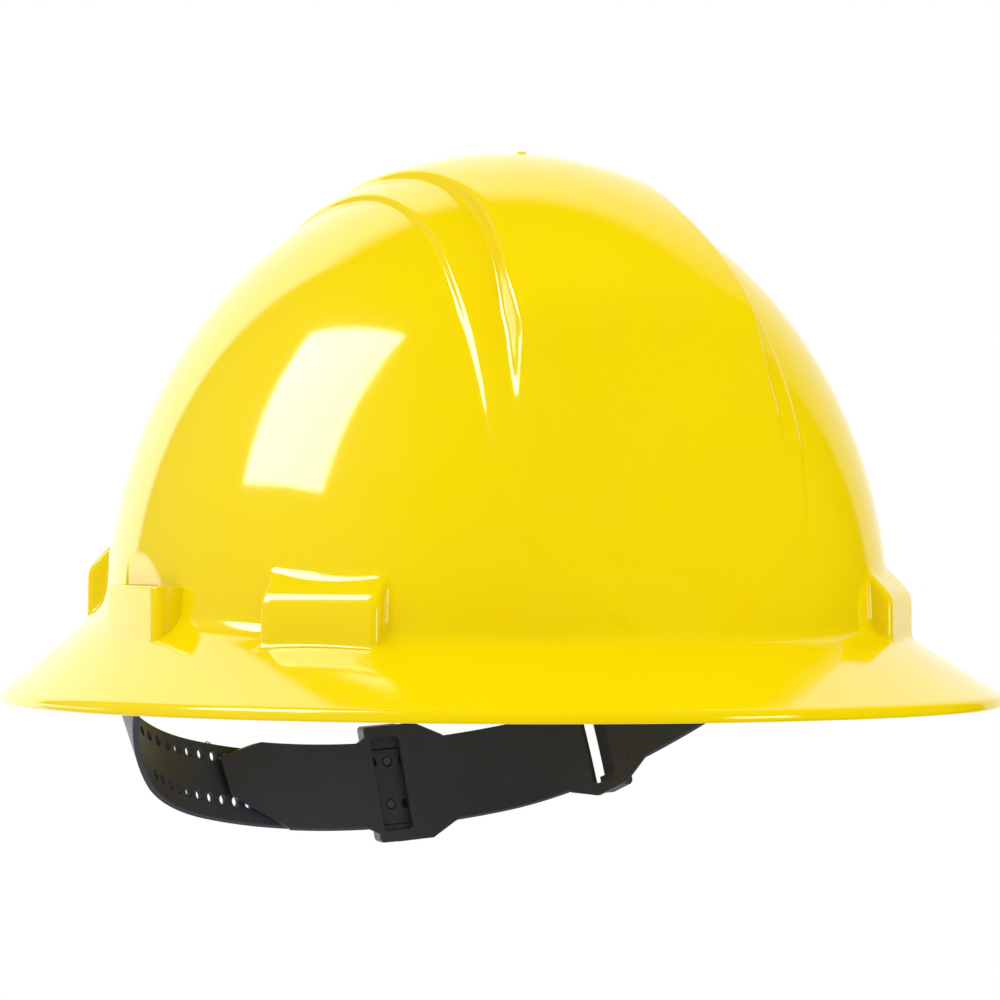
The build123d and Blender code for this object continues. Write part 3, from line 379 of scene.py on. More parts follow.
def grid_mesh(points, normals, closed_top, flip):
    """Vertices, faces and normals of a half grid and its mirror image, joined all round."""
    x, y, z = points
    nx, ny, nz = normals
    x[0] = x[-1] = 0
    nx[0] = nx[-1] = 0
    full = [np.concatenate([c, s * c[-2:0:-1]]) for c, s in ((x, -1), (y, 1), (z, 1))]
    full_n = [np.concatenate([c, s * c[-2:0:-1]]) for c, s in ((nx, -1), (ny, 1), (nz, 1))]
    rows, cols = full[0].shape
    verts = np.stack([c.ravel() for c in full], 1)
    norms = np.stack([c.ravel() for c in full_n], 1)
    i = np.arange(rows)[:, None]
    j = np.arange(cols - 1)[None, :]
    a = i * cols + j
    b = ((i + 1) % rows) * cols + j
    quads = np.stack([a, b, b + 1, a + 1], -1).reshape(-1, 4)
    if flip:
        quads = quads[:, ::-1]
    top = len(verts)
    apex = np.array([[0, full[1][:, -1].mean(), full[2][:, -1].mean() + 0.0005]])
    verts = np.concatenate([verts, apex])
    norms = np.concatenate([norms, [[0, 0, 1.0 if closed_top > 0 else -1.0]]])
    ring = np.arange(rows) * cols + cols - 1
    fan = np.stack([ring, np.roll(ring, -1), np.full(rows, top)], 1)
    if flip:
        fan = fan[:, ::-1]
    return verts, quads, fan, norms


def build_mesh(name, verts, quads, tris, norms=None):
    """Mesh object from arrays in millimetres, smooth shaded, with its own normals."""
    mesh = bpy.data.meshes.new(name)
    faces = len(quads) + len(tris)
    loops = 4 * len(quads) + 3 * len(tris)
    mesh.vertices.add(len(verts))
    mesh.vertices.foreach_set("co", (np.asarray(verts, float) * MM).ravel())
    mesh.loops.add(loops)
    index = np.concatenate([np.asarray(quads, int).ravel(), np.asarray(tris, int).ravel()])
    mesh.loops.foreach_set("vertex_index", index)
    mesh.polygons.add(faces)
    starts = np.concatenate([np.arange(len(quads)) * 4, 4 * len(quads) + np.arange(len(tris)) * 3])
    mesh.polygons.foreach_set("loop_start", starts)
    mesh.update(calc_edges=True)
    mesh.validate()
    mesh.polygons.foreach_set("use_smooth", np.ones(len(mesh.polygons), bool))
    if norms is not None:
        mesh.normals_split_custom_set_from_vertices(norms)
    obj = bpy.data.objects.new(name, mesh)
    bpy.context.scene.collection.objects.link(obj)
    return obj


def make_shell():
    quick = 1.0
    phis = direction_samples(quick)
    counts = [max(3, int(c / quick)) for c in (4, 70, 80, 420)]
    x, y, z, nx, ny, nz = sample(outside, phis, counts, (0, 0, 0, 1.2), 16.0, 1)
    outer = grid_mesh((x, y, z), (nx, ny, nz), 1, False)
    counts = [max(3, int(c / quick)) for c in (4, 40, 60, 130)]
    x, y, z, nx, ny, nz = sample(hollow, phis, counts, (RIM_WALL, WALL, 2.9, 0), 12.0, -1)
    z[:, 0] = 0.0
    inner = grid_mesh((x, y, z), (nx, ny, nz), -1, True)
    shift = len(outer[0])
    rows = 2 * len(phis) - 2
    outer_cols = (len(outer[0]) - 1) // rows
    inner_cols = (len(inner[0]) - 1) // rows
    i = np.arange(rows)
    nxt = (i + 1) % rows
    rim = np.stack([i * outer_cols, shift + i * inner_cols, shift + nxt * inner_cols, nxt * outer_cols], 1)
    verts = np.concatenate([outer[0], inner[0]])
    quads = np.concatenate([outer[1], inner[1] + shift, rim])
    tris = np.concatenate([outer[2], inner[2] + shift])
    norms = np.concatenate([outer[3], inner[3]])
    return build_mesh("shell_moulding", verts, quads, tris, norms)


SLOT_WALL_REACH = 9.0
SLOT_WALL_CORNER = 3.2
SLOT_WALL_FOOT = 15.0
SLOT_WALL_ROUNDING = 0.65


def slot_wall(side):
    """Upright wall of one accessory slot, with rounded corners in plan and its ends run into the crown."""
    root, face, wall = SLOT_FACE - SLOT_WALL_REACH, SLOT_FACE, SLOT_WALL
    radius = SLOT_WALL_CORNER
    y0, y1 = SLOT_Y - SLOT_HALF, SLOT_Y + SLOT_HALF
    outer = [(root, y0)]
    inner = [(root, y0 + wall)]
    for centre_y, first in ((y0 + radius, -90.0), (y1 - radius, 0.0)):
        for step in range(9):
            angle = math.radians(first + step * 90.0 / 8)
            for line, r in ((outer, radius), (inner, radius - wall)):
                line.append((face - radius + r * math.cos(angle), centre_y + r * math.sin(angle)))
    outer.append((root, y1))
    inner.append((root, y1 - wall))
    bm = bmesh.new()
    low, high = SLOT_WALL_FOOT, SLOT_TOP
    rings = []
    for line in (outer, inner):
        for z in (low, high):
            rings.append([bm.verts.new((side * px * MM, py * MM, z * MM)) for px, py in line])
    outer_low, outer_high, inner_low, inner_high = rings
    count = len(outer)
    for i in range(count - 1):
        bm.faces.new((outer_low[i], outer_low[i + 1], outer_high[i + 1], outer_high[i]))
        bm.faces.new((inner_low[i + 1], inner_low[i], inner_high[i], inner_high[i + 1]))
        bm.faces.new((outer_high[i], outer_high[i + 1], inner_high[i + 1], inner_high[i]))
        bm.faces.new((outer_low[i + 1], outer_low[i], inner_low[i], inner_low[i + 1]))
    for i in (0, count - 1):
        bm.faces.new((outer_low[i], outer_high[i], inner_high[i], inner_low[i]))
    bmesh.ops.recalc_face_normals(bm, faces=bm.faces)
    mesh = bpy.data.meshes.new("accessory_slot_wall")
    bm.to_mesh(mesh)
    bm.free()
    mesh.polygons.foreach_set("use_smooth", np.ones(len(mesh.polygons), bool))
    obj = bpy.data.objects.new("accessory_slot_wall_" + ("left" if side > 0 else "right"), mesh)
    bpy.context.scene.collection.objects.link(obj)
    bevel(obj, SLOT_WALL_ROUNDING, 4, 50.0)
    return obj


def bevel(obj, width, segments, angle):
    """Rounded edges with flat faces kept flat."""
    mod = obj.modifiers.new("rounded_edges", "BEVEL")
    mod.width = width * MM
    mod.segments = segments
    mod.limit_method = "ANGLE"
    mod.angle_limit = math.radians(angle)
    mod.harden_normals = True
    mod.miter_outer = "MITER_ARC"


# Webbing of the suspension

KEY_PLATE = 97.0
KEY_WALL = 2.4
WEBBING = 1.2
SPRING = 58.5
BAR_TOPS = (46.0, 52.5)
BAR_HEIGHT = 3.4
STRAP_HALF = 9.5
SEWN_LENGTH = 14.0
FOLD_START = 6.0
FOLD_TURN = 1.5
FOLD_CORNER = 1.4
BAR_GAP = 0.3
RIB_PITCH = 1.8
RIB_DEPTH = 0.10
RIB_POINTS = 4
HEAD_ROOM = 27.5
CROWN_TOP = BASE + CENTRE[2] - WALL - HEAD_ROOM
LOWER_STRAP_DROP = 1.8


def round_corner(path, radius, steps):
    """The path with each inner corner replaced by a short curve."""
    path = [p for i, p in enumerate(path) if i == 0 or math.dist(p, path[i - 1]) > 0.01]
    out = [path[0]]
    for before, here, after in zip(path, path[1:], path[2:]):
        a, b, c = (np.array(p) for p in (before, here, after))
        ab, cb = a - b, c - b
        reach = min(radius, 0.45 * np.linalg.norm(ab), 0.45 * np.linalg.norm(cb))
        start = b + ab / np.linalg.norm(ab) * reach
        end = b + cb / np.linalg.norm(cb) * reach
        for i in range(steps + 1):
            t = i / steps
            out.append(tuple((1 - t) ** 2 * start + 2 * t * (1 - t) * b + t * t * end))
    out.append(path[-1])
    return out


def even_path(path, step):
    """Points at even spacing along a path."""
    pts = np.array(path)
    run = np.concatenate([[0], np.cumsum(np.linalg.norm(np.diff(pts, axis=0), axis=1))])
    places = np.linspace(0, run[-1], max(2, int(run[-1] / step)))
    return np.stack([np.interp(places, run, pts[:, i]) for i in range(pts.shape[1])], 1)


def strap_path(lowered):
    """Middle line of a crown strap in its own upright plane, sewn back on itself at both ends."""
    middle = KEY_PLATE + KEY_WALL / 2
    half = WEBBING / 2
    rise = CROWN_TOP - lowered - SPRING
    inner, outer = middle - half, middle + half

    def end(sign, bar_top):
        bar_low = bar_top - BAR_HEIGHT
        near, far = KEY_PLATE - BAR_GAP - half, KEY_PLATE + KEY_WALL + BAR_GAP + half
        fold = [math.asin(SEWN_LENGTH / (rise + half)) * (1 - i / 8) for i in range(9)]
        line = [(sign * outer * math.cos(a), SPRING + (rise + half) * math.sin(a)) for a in fold]
        high, turn, low = bar_top + FOLD_START, bar_top + FOLD_TURN, bar_low - BAR_GAP - half
        places = [(outer, high), (far, turn), (far, low), (near, low), (near, turn), (inner, high)]
        return line + [(sign * place, height) for place, height in places]

    first = round_corner(end(1, BAR_TOPS[0]), FOLD_CORNER, 6)
    last = round_corner(end(-1, BAR_TOPS[1]), FOLD_CORNER, 6)
    arc_line = []
    for i in range(121):
        angle = math.pi * i / 120
        arc_line.append((inner * math.cos(angle), SPRING + (rise - half) * math.sin(angle)))
    return even_path(first + arc_line + last[::-1], 0.45)


def crown_strap(name, side, lowered):
    """Woven strap: thick in the middle of each rib, thin at its selvedges."""
    path = strap_path(lowered)
    angle = POCKET_ANGLE
    outward = np.array([side * math.sin(angle), -math.cos(angle), 0.0])
    across = np.array([outward[1], -outward[0], 0.0])
    tangent = np.gradient(path, axis=0)
    tangent /= np.linalg.norm(tangent, axis=1)[:, None]
    normal = np.stack([-tangent[:, 1], tangent[:, 0]], 1)
    run = np.concatenate([[0], np.cumsum(np.linalg.norm(np.diff(path, axis=0), axis=1))])
    count = 48
    w = np.linspace(-1, 1, count)
    edge = np.sqrt(np.clip(1 - np.abs(w) ** 14, 0, 1))
    shift = np.where(np.arange(count) % RIB_POINTS < RIB_POINTS / 2, 0, math.pi)
    weave = RIB_DEPTH * np.sin(run[:, None] * 2 * math.pi / RIB_PITCH + shift[None, :])
    border = np.where(np.abs(np.abs(w) - 0.86) < 0.05, -0.16, 0.0)
    thick = (WEBBING / 2 - 0.12 + weave + border[None, :]) * edge[None, :]
    rows = []
    for sign in (1, -1):
        plane = path[:, None, :] + sign * normal[:, None, :] * thick[:, :, None]
        place = plane[:, :, 0:1] * outward + (w * STRAP_HALF)[None, :, None] * across
        place[:, :, 2] += plane[:, :, 1]
        rows.append(place)
    n = len(path)
    verts = np.concatenate([rows[0].reshape(-1, 3), rows[1].reshape(-1, 3)])
    i = np.arange(n - 1)[:, None]
    j = np.arange(count - 1)[None, :]
    a = (i * count + j).ravel()
    top = np.stack([a, a + 1, a + count + 1, a + count], 1)
    low = top[:, ::-1] + n * count
    k = np.arange(n - 1) * count
    side_a = np.stack([k, k + count, k + count + n * count, k + n * count], 1)
    k = k + count - 1
    side_b = np.stack([k, k + n * count, k + count + n * count, k + count], 1)
    j = np.arange(count - 1)
    start = np.stack([j, j + n * count, j + 1 + n * count, j + 1], 1)
    j = j + (n - 1) * count
    finish = np.stack([j, j + 1, j + 1 + n * count, j + n * count], 1)
    quads = np.concatenate([top, low, side_a, side_b, start, finish])
    if side < 0:
        quads = quads[:, ::-1]
    return build_mesh(name, verts, quads, np.zeros((0, 3), int))


STITCH_HALF = 1.0
STITCH_RADIUS = 0.32
STITCH_PITCH = 2.6
THREAD_GAP = 0.05
CROSS_MIDDLE = 6.7
CROSS_HALF_HEIGHT = 5.4
CROSS_HALF_WIDTH = 6.6


def stitches(name):
    """Bar tacks and boxes of thread that close the loops of the crown straps."""
    verts, quads = [], []
    middle = KEY_PLATE + KEY_WALL / 2
    ring = 6

    def stitch(place, along, out):
        base = len(verts)
        across = np.cross(along, out)
        for t in np.linspace(-1, 1, 5):
            radius = STITCH_RADIUS * math.sqrt(max(0.02, 1 - t * t))
            for i in range(ring):
                angle = 2 * math.pi * i / ring
                spoke = math.cos(angle) * across + math.sin(angle) * out
                verts.append(place + along * t * STITCH_HALF + radius * spoke)
        for k in range(4):
            for i in range(ring):
                a, b = base + k * ring + i, base + k * ring + (i + 1) % ring
                quads.append((a, b, b + ring, a + ring))

    for side, lowered in ((1, 0.0), (-1, LOWER_STRAP_DROP)):
        rise = CROWN_TOP - lowered - SPRING
        for sign in (1, -1):
            outward = np.array([side * math.sin(POCKET_ANGLE), -math.cos(POCKET_ANGLE), 0.0]) * sign
            across = np.array([outward[1], -outward[0], 0.0])
            for face in (1, -1):
                radius = middle + face * (WEBBING + THREAD_GAP)
                height = rise + face * (WEBBING + THREAD_GAP)

                def at(z, w):
                    turn = math.asin(np.clip((z - SPRING) / height, -1, 1))
                    return outward * radius * math.cos(turn) + across * w + np.array([0, 0, z])

                up = np.array([0, 0, 1.0])
                out = outward * face
                for w in (-7.4, 7.4):
                    for z in np.arange(SPRING + 1.5, SPRING + 12.6, STITCH_PITCH):
                        stitch(at(z, w), up, out)
                for z in (SPRING + 0.6, SPRING + 12.8):
                    for w in np.arange(-6.5, 6.6, STITCH_PITCH):
                        stitch(at(z, w), across, out)
                for t in np.linspace(-0.8, 0.8, 6):
                    for slope in (1, -1):
                        along = across * 0.78 + up * 0.62 * slope
                        height_now = SPRING + CROSS_MIDDLE + slope * t * CROSS_HALF_HEIGHT
                        place = at(height_now, t * CROSS_HALF_WIDTH)
                        stitch(place, along / np.linalg.norm(along), out)
    return build_mesh(name, np.array(verts), np.array(quads), np.zeros((0, 3), int))


# Brow pad

LOOP_FRONT_RADIUS = 95.0
LOOP_FRONT_Y = -1.0
LOOP_CORNER_RADIUS = 68.0
LOOP_SIDE_RADIUS = 150.0
LOOP_SIDE_REACH = 93.0
LOOP_SIDE_Y = 9.0
HEADBAND_IN = -3.45


def chaikin(line, times):
    """Closed outline with its corners cut again and again."""
    pts = np.array(line, float)
    for _ in range(times):
        nxt = np.roll(pts, -1, axis=0)
        pts = np.stack([0.75 * pts + 0.25 * nxt, 0.25 * pts + 0.75 * nxt], 1).reshape(-1, 2)
    return pts


def front_loop(side_reach, out):
    """Place and outward direction on the headband's front by the distance along it from its middle."""
    # The front arc runs into a tighter corner arc at each side.
    reach = abs(side_reach)
    arc_length = FRONT_TURN * LOOP_FRONT_RADIUS
    if reach <= arc_length:
        angle = reach / LOOP_FRONT_RADIUS
        x = (LOOP_FRONT_RADIUS + out) * math.sin(angle)
        y = LOOP_FRONT_Y - (LOOP_FRONT_RADIUS + out) * math.cos(angle)
    else:
        angle = FRONT_TURN + (reach - arc_length) / LOOP_CORNER_RADIUS
        x = CORNER_X + (LOOP_CORNER_RADIUS + out) * math.sin(angle)
        y = CORNER_Y - (LOOP_CORNER_RADIUS + out) * math.cos(angle)
    return math.copysign(1, side_reach) * x, y


def front_corner():
    """Where the front arc ends and the centre of the corner arc, from arcs that touch inside each other."""
    side_x, side_y, side_radius = LOOP_SIDE_REACH - LOOP_SIDE_RADIUS, LOOP_SIDE_Y, LOOP_SIDE_RADIUS
    a, b = side_radius - LOOP_CORNER_RADIUS, LOOP_FRONT_RADIUS - LOOP_CORNER_RADIUS
    dx, dy = -side_x, LOOP_FRONT_Y - side_y
    gap = math.hypot(dx, dy)
    along = (a * a - b * b + gap * gap) / (2 * gap)
    across = math.sqrt(a * a - along * along)
    points = []
    for s in (-1, 1):
        place_x = side_x + along * dx / gap - s * across * dy / gap
        place_y = side_y + along * dy / gap + s * across * dx / gap
        points.append((place_x, place_y))
    x, y = min(points, key=lambda p: p[1])
    return x, y, math.atan2(x, LOOP_FRONT_Y - y)


CORNER_X, CORNER_Y, FRONT_TURN = front_corner()


COVER_SECTION = [
    (-6.3, 4.7), (-8.3, 5.6), (-9.0, 9.0), (-9.1, 19.0), (-9.0, 28.5), (-8.2, 32.4), (-6.0, 33.5),
    (-2.6, 33.6), (-0.1, 33.5), (0.15, 31.8), (0.15, 25.6), (-0.3, 24.6), (-0.9, 25.0), (-0.9, 28.0),
    (-0.95, 31.4), (-2.2, 31.5), (-3.4, 31.4), (-3.5, 28.0), (-3.5, 14.0), (-3.6, 7.0), (-4.4, 4.9)]
FILLING_SECTION = [
    (-4.4, 7.6), (-7.2, 8.0), (-7.8, 10.0), (-7.8, 19.0), (-7.8, 28.0), (-7.2, 30.0), (-4.4, 30.4),
    (-4.2, 19.0)]


SEAM_DEPTH = 0.5
SEAM_HALF = 0.55
SEAM_HEIGHTS = (8.2, 29.6)
END_SEAM_PLACE = 4.5
END_SEAM_HALF = 0.6
SEAM_LIMIT = 0.6
CREASE_DEPTH = 0.10
CREASE_REACH = 2.2
PAD_MIDDLE = 19.0
PAD_HALF_HEIGHT = 14.5


def cushion(name, section, length):
    """Cushion behind the headband's front with the given upright section, drawn in at its seams and ends."""
    outline = chaikin(section, 3)
    # The outline's points are spread evenly round the section.
    closed = np.concatenate([outline, outline[:1]])
    run = np.concatenate([[0], np.cumsum(np.linalg.norm(np.diff(closed, axis=0), axis=1))])
    count = 180
    places = np.linspace(0, run[-1], count, endpoint=False)
    outline = np.stack([np.interp(places, run, closed[:, i]) for i in (0, 1)], 1)
    steps = 260
    verts = []
    for i in range(steps + 1):
        u = -1 + 2 * i / steps
        swell = math.sqrt(max(0.0, 1 - abs(u) ** 10))
        plump = 0.42 + 0.58 * min(1.0, (1 - abs(u)) / 0.10) ** 0.5
        pinch = 1 - 0.10 * (1 - min(1.0, (1 - abs(u)) / 0.08)) ** 2
        reach = u * length
        for out, z in outline:
            if out < HEADBAND_IN:
                depth = (HEADBAND_IN - out)
                low, high = z - SEAM_HEIGHTS[0], z - SEAM_HEIGHTS[1]
                seam = SEAM_DEPTH * math.exp(-(low / SEAM_HALF) ** 2)
                seam += SEAM_DEPTH * math.exp(-(high / SEAM_HALF) ** 2)
                seam += SEAM_DEPTH * math.exp(-((abs(reach) - length + END_SEAM_PLACE) / END_SEAM_HALF) ** 2)
                low_wave = math.sin(reach * 0.9 + 0.6 * math.sin(z * 0.5))
                high_wave = math.sin(reach * 1.1 + 2.0)
                crease = CREASE_DEPTH * low_wave * math.exp(-(low / CREASE_REACH) ** 2)
                crease += CREASE_DEPTH * high_wave * math.exp(-(high / CREASE_REACH) ** 2)
                full = 0.93 + 0.07 * math.cos((z - PAD_MIDDLE) / PAD_HALF_HEIGHT * math.pi / 2)
                sunk = min(seam, SEAM_LIMIT) * min(1.0, depth / 3)
                depth = (depth * full * (0.35 + 0.65 * plump) - sunk + crease) * (0.4 + 0.6 * swell)
                out = HEADBAND_IN - max(depth, 0.05)
            z = PAD_MIDDLE + (z - PAD_MIDDLE) * pinch
            x, y = front_loop(reach, out)
            verts.append((x, y, z))
    verts = np.array(verts)
    i = np.arange(steps)[:, None]
    j = np.arange(count)[None, :]
    a = i * count + j
    b = i * count + (j + 1) % count
    quads = np.stack([a, b, b + count, a + count], -1).reshape(-1, 4)
    caps = []
    for start, flip in ((0, True), (steps * count, False)):
        # Strips between the two sides of the section close each end.
        half = count // 2
        for k in range(half - 1):
            quad = (start + k, start + k + 1, start + count - 2 - k, start + count - 1 - k)
            caps.append(quad[::-1] if flip else quad)
    quads = np.concatenate([quads, np.array(caps)])[:, ::-1]
    return build_mesh(name, verts, quads, np.zeros((0, 3), int))


# Ejector marks of the nape straps

# Each mark's strap, its turn in degrees about the loop's middle from the rear, and its height.
MARKS = [
    ("nape_strap_pinned", 18.0, -18.0),
    ("nape_strap_pinned", 21.0, -38.0),
    ("nape_strap_pinned", 65.0, -19.0),
    ("nape_strap_holed", -31.0, -16.0),
    ("nape_strap_holed", -32.0, -35.0),
]
LOOP_MIDDLE_Y = 30.0
MARK_RADIUS = 1.5
MARK_LIP = 0.16


def ejector_marks(name):
    """Low round lips that the mould's pins leave on the straps."""
    verts, quads = [], []
    round_count, lip_count = 40, 10
    for node, turn, height in MARKS:
        turn = math.radians(turn)
        start = Vector((0.0, LOOP_MIDDLE_Y * MM, height * MM))
        outward = Vector((math.sin(turn), math.cos(turn), 0.0))
        found, place, out, _ = nodes[node].ray_cast(start, outward)
        if not found:
            raise RuntimeError("an ejector mark misses " + node)
        place, out = np.array(place) / MM, np.array(out)
        along = np.cross(out, [0, 0, 1.0])
        along /= np.linalg.norm(along)
        up = np.cross(along, out)
        base = len(verts)
        for i in range(round_count):
            turn = 2 * math.pi * i / round_count
            spoke = along * math.cos(turn) + up * math.sin(turn)
            for j in range(lip_count):
                roll = 2 * math.pi * j / lip_count
                reach = MARK_RADIUS + MARK_LIP * math.cos(roll)
                verts.append(np.array(place) + spoke * reach + out * MARK_LIP * 0.7 * math.sin(roll))
                a, b = base + i * lip_count, base + (i + 1) % round_count * lip_count
                quads.append((a + j, b + j, b + (j + 1) % lip_count, a + (j + 1) % lip_count))
    return build_mesh(name, np.array(verts), np.array(quads), np.zeros((0, 3), int))


# Materials

def material(name):
    mat = bpy.data.materials.new(name)
    mat.use_nodes = True
    tree = mat.node_tree
    tree.nodes.clear()
    out = tree.nodes.new("ShaderNodeOutputMaterial")
    shader = tree.nodes.new("ShaderNodeBsdfPrincipled")
    tree.links.new(shader.outputs[0], out.inputs["Surface"])
    return mat, tree, shader


def noise(tree, scale, detail=3.0, roughness=0.5, vector=None):
    node = tree.nodes.new("ShaderNodeTexNoise")
    node.inputs["Scale"].default_value = scale
    node.inputs["Detail"].default_value = detail
    node.inputs["Roughness"].default_value = roughness
    if vector is None:
        coord = tree.nodes.new("ShaderNodeTexCoord")
        vector = coord.outputs["Object"]
    tree.links.new(vector, node.inputs["Vector"])
    return node.outputs["Fac"]


def ramp(tree, fac, stops):
    node = tree.nodes.new("ShaderNodeValToRGB")
    items = node.color_ramp.elements
    while len(items) < len(stops):
        items.new(0.5)
    for item, (place, colour) in zip(items, stops):
        item.position = place
        item.color = (*colour, 1) if len(colour) == 3 else colour
    tree.links.new(fac, node.inputs[0])
    return node.outputs[0]


def bump(tree, shader, height, strength, distance):
    node = tree.nodes.new("ShaderNodeBump")
    node.inputs["Strength"].default_value = strength
    node.inputs["Distance"].default_value = distance
    tree.links.new(height, node.inputs["Height"])
    tree.links.new(node.outputs[0], shader.inputs["Normal"])
    return node


def map_range(tree, value, low, high, new_low, new_high, smooth=True):
    node = tree.nodes.new("ShaderNodeMapRange")
    node.interpolation_type = "SMOOTHSTEP" if smooth else "LINEAR"
    node.inputs["From Min"].default_value = low
    node.inputs["From Max"].default_value = high
    node.inputs["To Min"].default_value = new_low
    node.inputs["To Max"].default_value = new_high
    tree.links.new(value, node.inputs["Value"])
    return node.outputs[0]


def math_node(tree, kind, a, b=None):
    node = tree.nodes.new("ShaderNodeMath")
    node.operation = kind
    for i, value in enumerate((a, b)):
        if value is None:
            continue
        if isinstance(value, (int, float)):
            node.inputs[i].default_value = value
        else:
            tree.links.new(value, node.inputs[i])
    return node.outputs[0]


def two_noises(tree, first, second, share):
    """Sum of two values, with the given share of the first one."""
    parts = (math_node(tree, "MULTIPLY", first, share), math_node(tree, "MULTIPLY", second, 1 - share))
    return math_node(tree, "ADD", *parts)


def yellow_plastic():
    mat, tree, shader = material("shell_yellow")
    fine = noise(tree, 900.0, 2.0)
    broad = noise(tree, 18.0, 4.0)
    mixed = two_noises(tree, fine, broad, 0.25)
    colour = ramp(tree, mixed, [(0.3, (0.86, 0.645, 0.0006)), (0.7, (0.885, 0.668, 0.0006))])
    tree.links.new(colour, shader.inputs["Base Color"])
    rough = map_range(tree, noise(tree, 60.0, 3.0), 0.3, 0.7, 0.07, 0.1)
    tree.links.new(rough, shader.inputs["Roughness"])
    shader.inputs["IOR"].default_value = 1.5
    bump(tree, shader, noise(tree, 25.0, 1.0), 0.05, 0.0006)
    return mat


def dark_plastic(name, shade, rough_low, rough_high, grain):
    mat, tree, shader = material(name)
    fine = noise(tree, grain, 3.0)
    broad = noise(tree, 40.0, 4.0)
    mixed = two_noises(tree, fine, broad, 0.4)
    low = tuple(c * 0.85 for c in shade)
    high = tuple(c * 1.2 for c in shade)
    tree.links.new(ramp(tree, mixed, [(0.3, low), (0.7, high)]), shader.inputs["Base Color"])
    tree.links.new(map_range(tree, broad, 0.3, 0.7, rough_low, rough_high), shader.inputs["Roughness"])
    shader.inputs["IOR"].default_value = 1.46
    rounded = tree.nodes.new("ShaderNodeBevel")
    rounded.samples = 6
    rounded.inputs["Radius"].default_value = 0.00035
    relief = bump(tree, shader, fine, 0.12, 0.0001)
    tree.links.new(rounded.outputs[0], relief.inputs["Normal"])
    return mat


def cloth(name, shade, grain):
    """Dull cloth or thread with a fine grain and slow shade changes."""
    mat, tree, shader = material(name)
    fine = noise(tree, grain, 2.0)
    broad = noise(tree, 30.0, 3.0)
    mixed = two_noises(tree, fine, broad, 0.6)
    low = tuple(c * 0.7 for c in shade)
    high = tuple(c * 1.35 for c in shade)
    tree.links.new(ramp(tree, mixed, [(0.3, low), (0.7, high)]), shader.inputs["Base Color"])
    tree.links.new(map_range(tree, fine, 0.3, 0.7, 0.75, 0.95), shader.inputs["Roughness"])
    shader.inputs["Sheen Weight"].default_value = 0.15
    bump(tree, shader, fine, 0.35, 0.0002)
    return mat


def assign(obj, mat):
    obj.data.materials.clear()
    obj.data.materials.append(mat)


shell_mat = yellow_plastic()
# Painted light correction: the strap's base colour is tinted blue to cancel the yellow light bounced onto it
# from the brim. The strap's own tone is a neutral dark grey.
strap_mat = dark_plastic("nape_strap_plastic", (0.040, 0.045, 0.065), 0.42, 0.55, 1500.0)
band_mat = dark_plastic("headband_plastic", (0.034, 0.034, 0.035), 0.5, 0.6, 1200.0)
key_mat = dark_plastic("key_plastic", (0.036, 0.036, 0.037), 0.4, 0.5, 1800.0)
stud_mat = dark_plastic("stud_plastic", (0.045, 0.045, 0.046), 0.35, 0.45, 1800.0)
web_mat = cloth("crown_webbing", (0.05, 0.052, 0.058), 2600.0)
thread_mat = cloth("stitch_thread", (0.20, 0.20, 0.21), 3000.0)
cloth_mat = cloth("brow_pad_cloth", (0.045, 0.046, 0.05), 2200.0)
foam_mat = cloth("brow_pad_foam_grain", (0.2, 0.2, 0.2), 900.0)

shell = make_shell()
assign(shell, shell_mat)
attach(shell, "shell")
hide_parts("shell")

for side in (-1, 1):
    wall = slot_wall(side)
    assign(wall, shell_mat)
    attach(wall, "shell")

for name, side, lowered in (("crown_strap_upper", 1, 0.0), ("crown_strap_lower", -1, LOWER_STRAP_DROP)):
    strap = crown_strap(name + "_webbing", side, lowered)
    assign(strap, web_mat)
    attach(strap, "cradle")
    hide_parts(name)
thread = stitches("crown_strap_stitching")
assign(thread, thread_mat)
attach(thread, "cradle")

marks = ejector_marks("nape_strap_ejector_marks")
assign(marks, strap_mat)
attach(marks, "nape")

pad = cushion("brow_pad", COVER_SECTION, 66.5)
assign(pad, cloth_mat)
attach(pad, "headband")
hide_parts("brow_pad_cover")

filling = cushion("brow_pad_filling", FILLING_SECTION, 62.0)
assign(filling, foam_mat)
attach(filling, "headband")
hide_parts("brow_pad_foam")

for name, obj in nodes.items():
    if name in ("shell", "crown_strap_upper", "crown_strap_lower", "brow_pad_cover", "brow_pad_foam"):
        continue
    if name.startswith("nape_strap"):
        assign_to = strap_mat
    elif name.startswith("suspension_key"):
        assign_to = key_mat
    elif name.startswith("stud_cap") or name.startswith("nape_rivet"):
        assign_to = stud_mat
    else:
        assign_to = band_mat
    for item in obj.material_slots:
        item.link = "OBJECT"
        item.material = assign_to

# Camera, light and background

AZIMUTH = math.radians(-26.0)
FORWARD = Vector((-math.sin(AZIMUTH), math.cos(AZIMUTH), 0.0))
RIGHT = Vector((math.cos(AZIMUTH), math.sin(AZIMUTH), 0.0))
CAMERA_DISTANCE = 1.5
CAMERA_SIDE = 0.0011
CAMERA_HEIGHT = 0.0565
PICTURE_WIDTH = 0.28

camera = bpy.data.objects.new("camera", bpy.data.cameras.new("camera"))
bpy.context.scene.collection.objects.link(camera)
camera.data.sensor_width = 36
camera.data.lens = camera.data.sensor_width * CAMERA_DISTANCE / PICTURE_WIDTH
camera.data.clip_start = 0.05
camera.data.clip_end = 50
place = -FORWARD * CAMERA_DISTANCE + RIGHT * CAMERA_SIDE + Vector((0, 0, CAMERA_HEIGHT))
turn = Matrix((RIGHT, Vector((0, 0, 1)), -FORWARD)).transposed().to_4x4()
camera.matrix_world = Matrix.Translation(place) @ turn
bpy.context.scene.camera = camera
bpy.context.scene.view_settings.view_transform = "Standard"


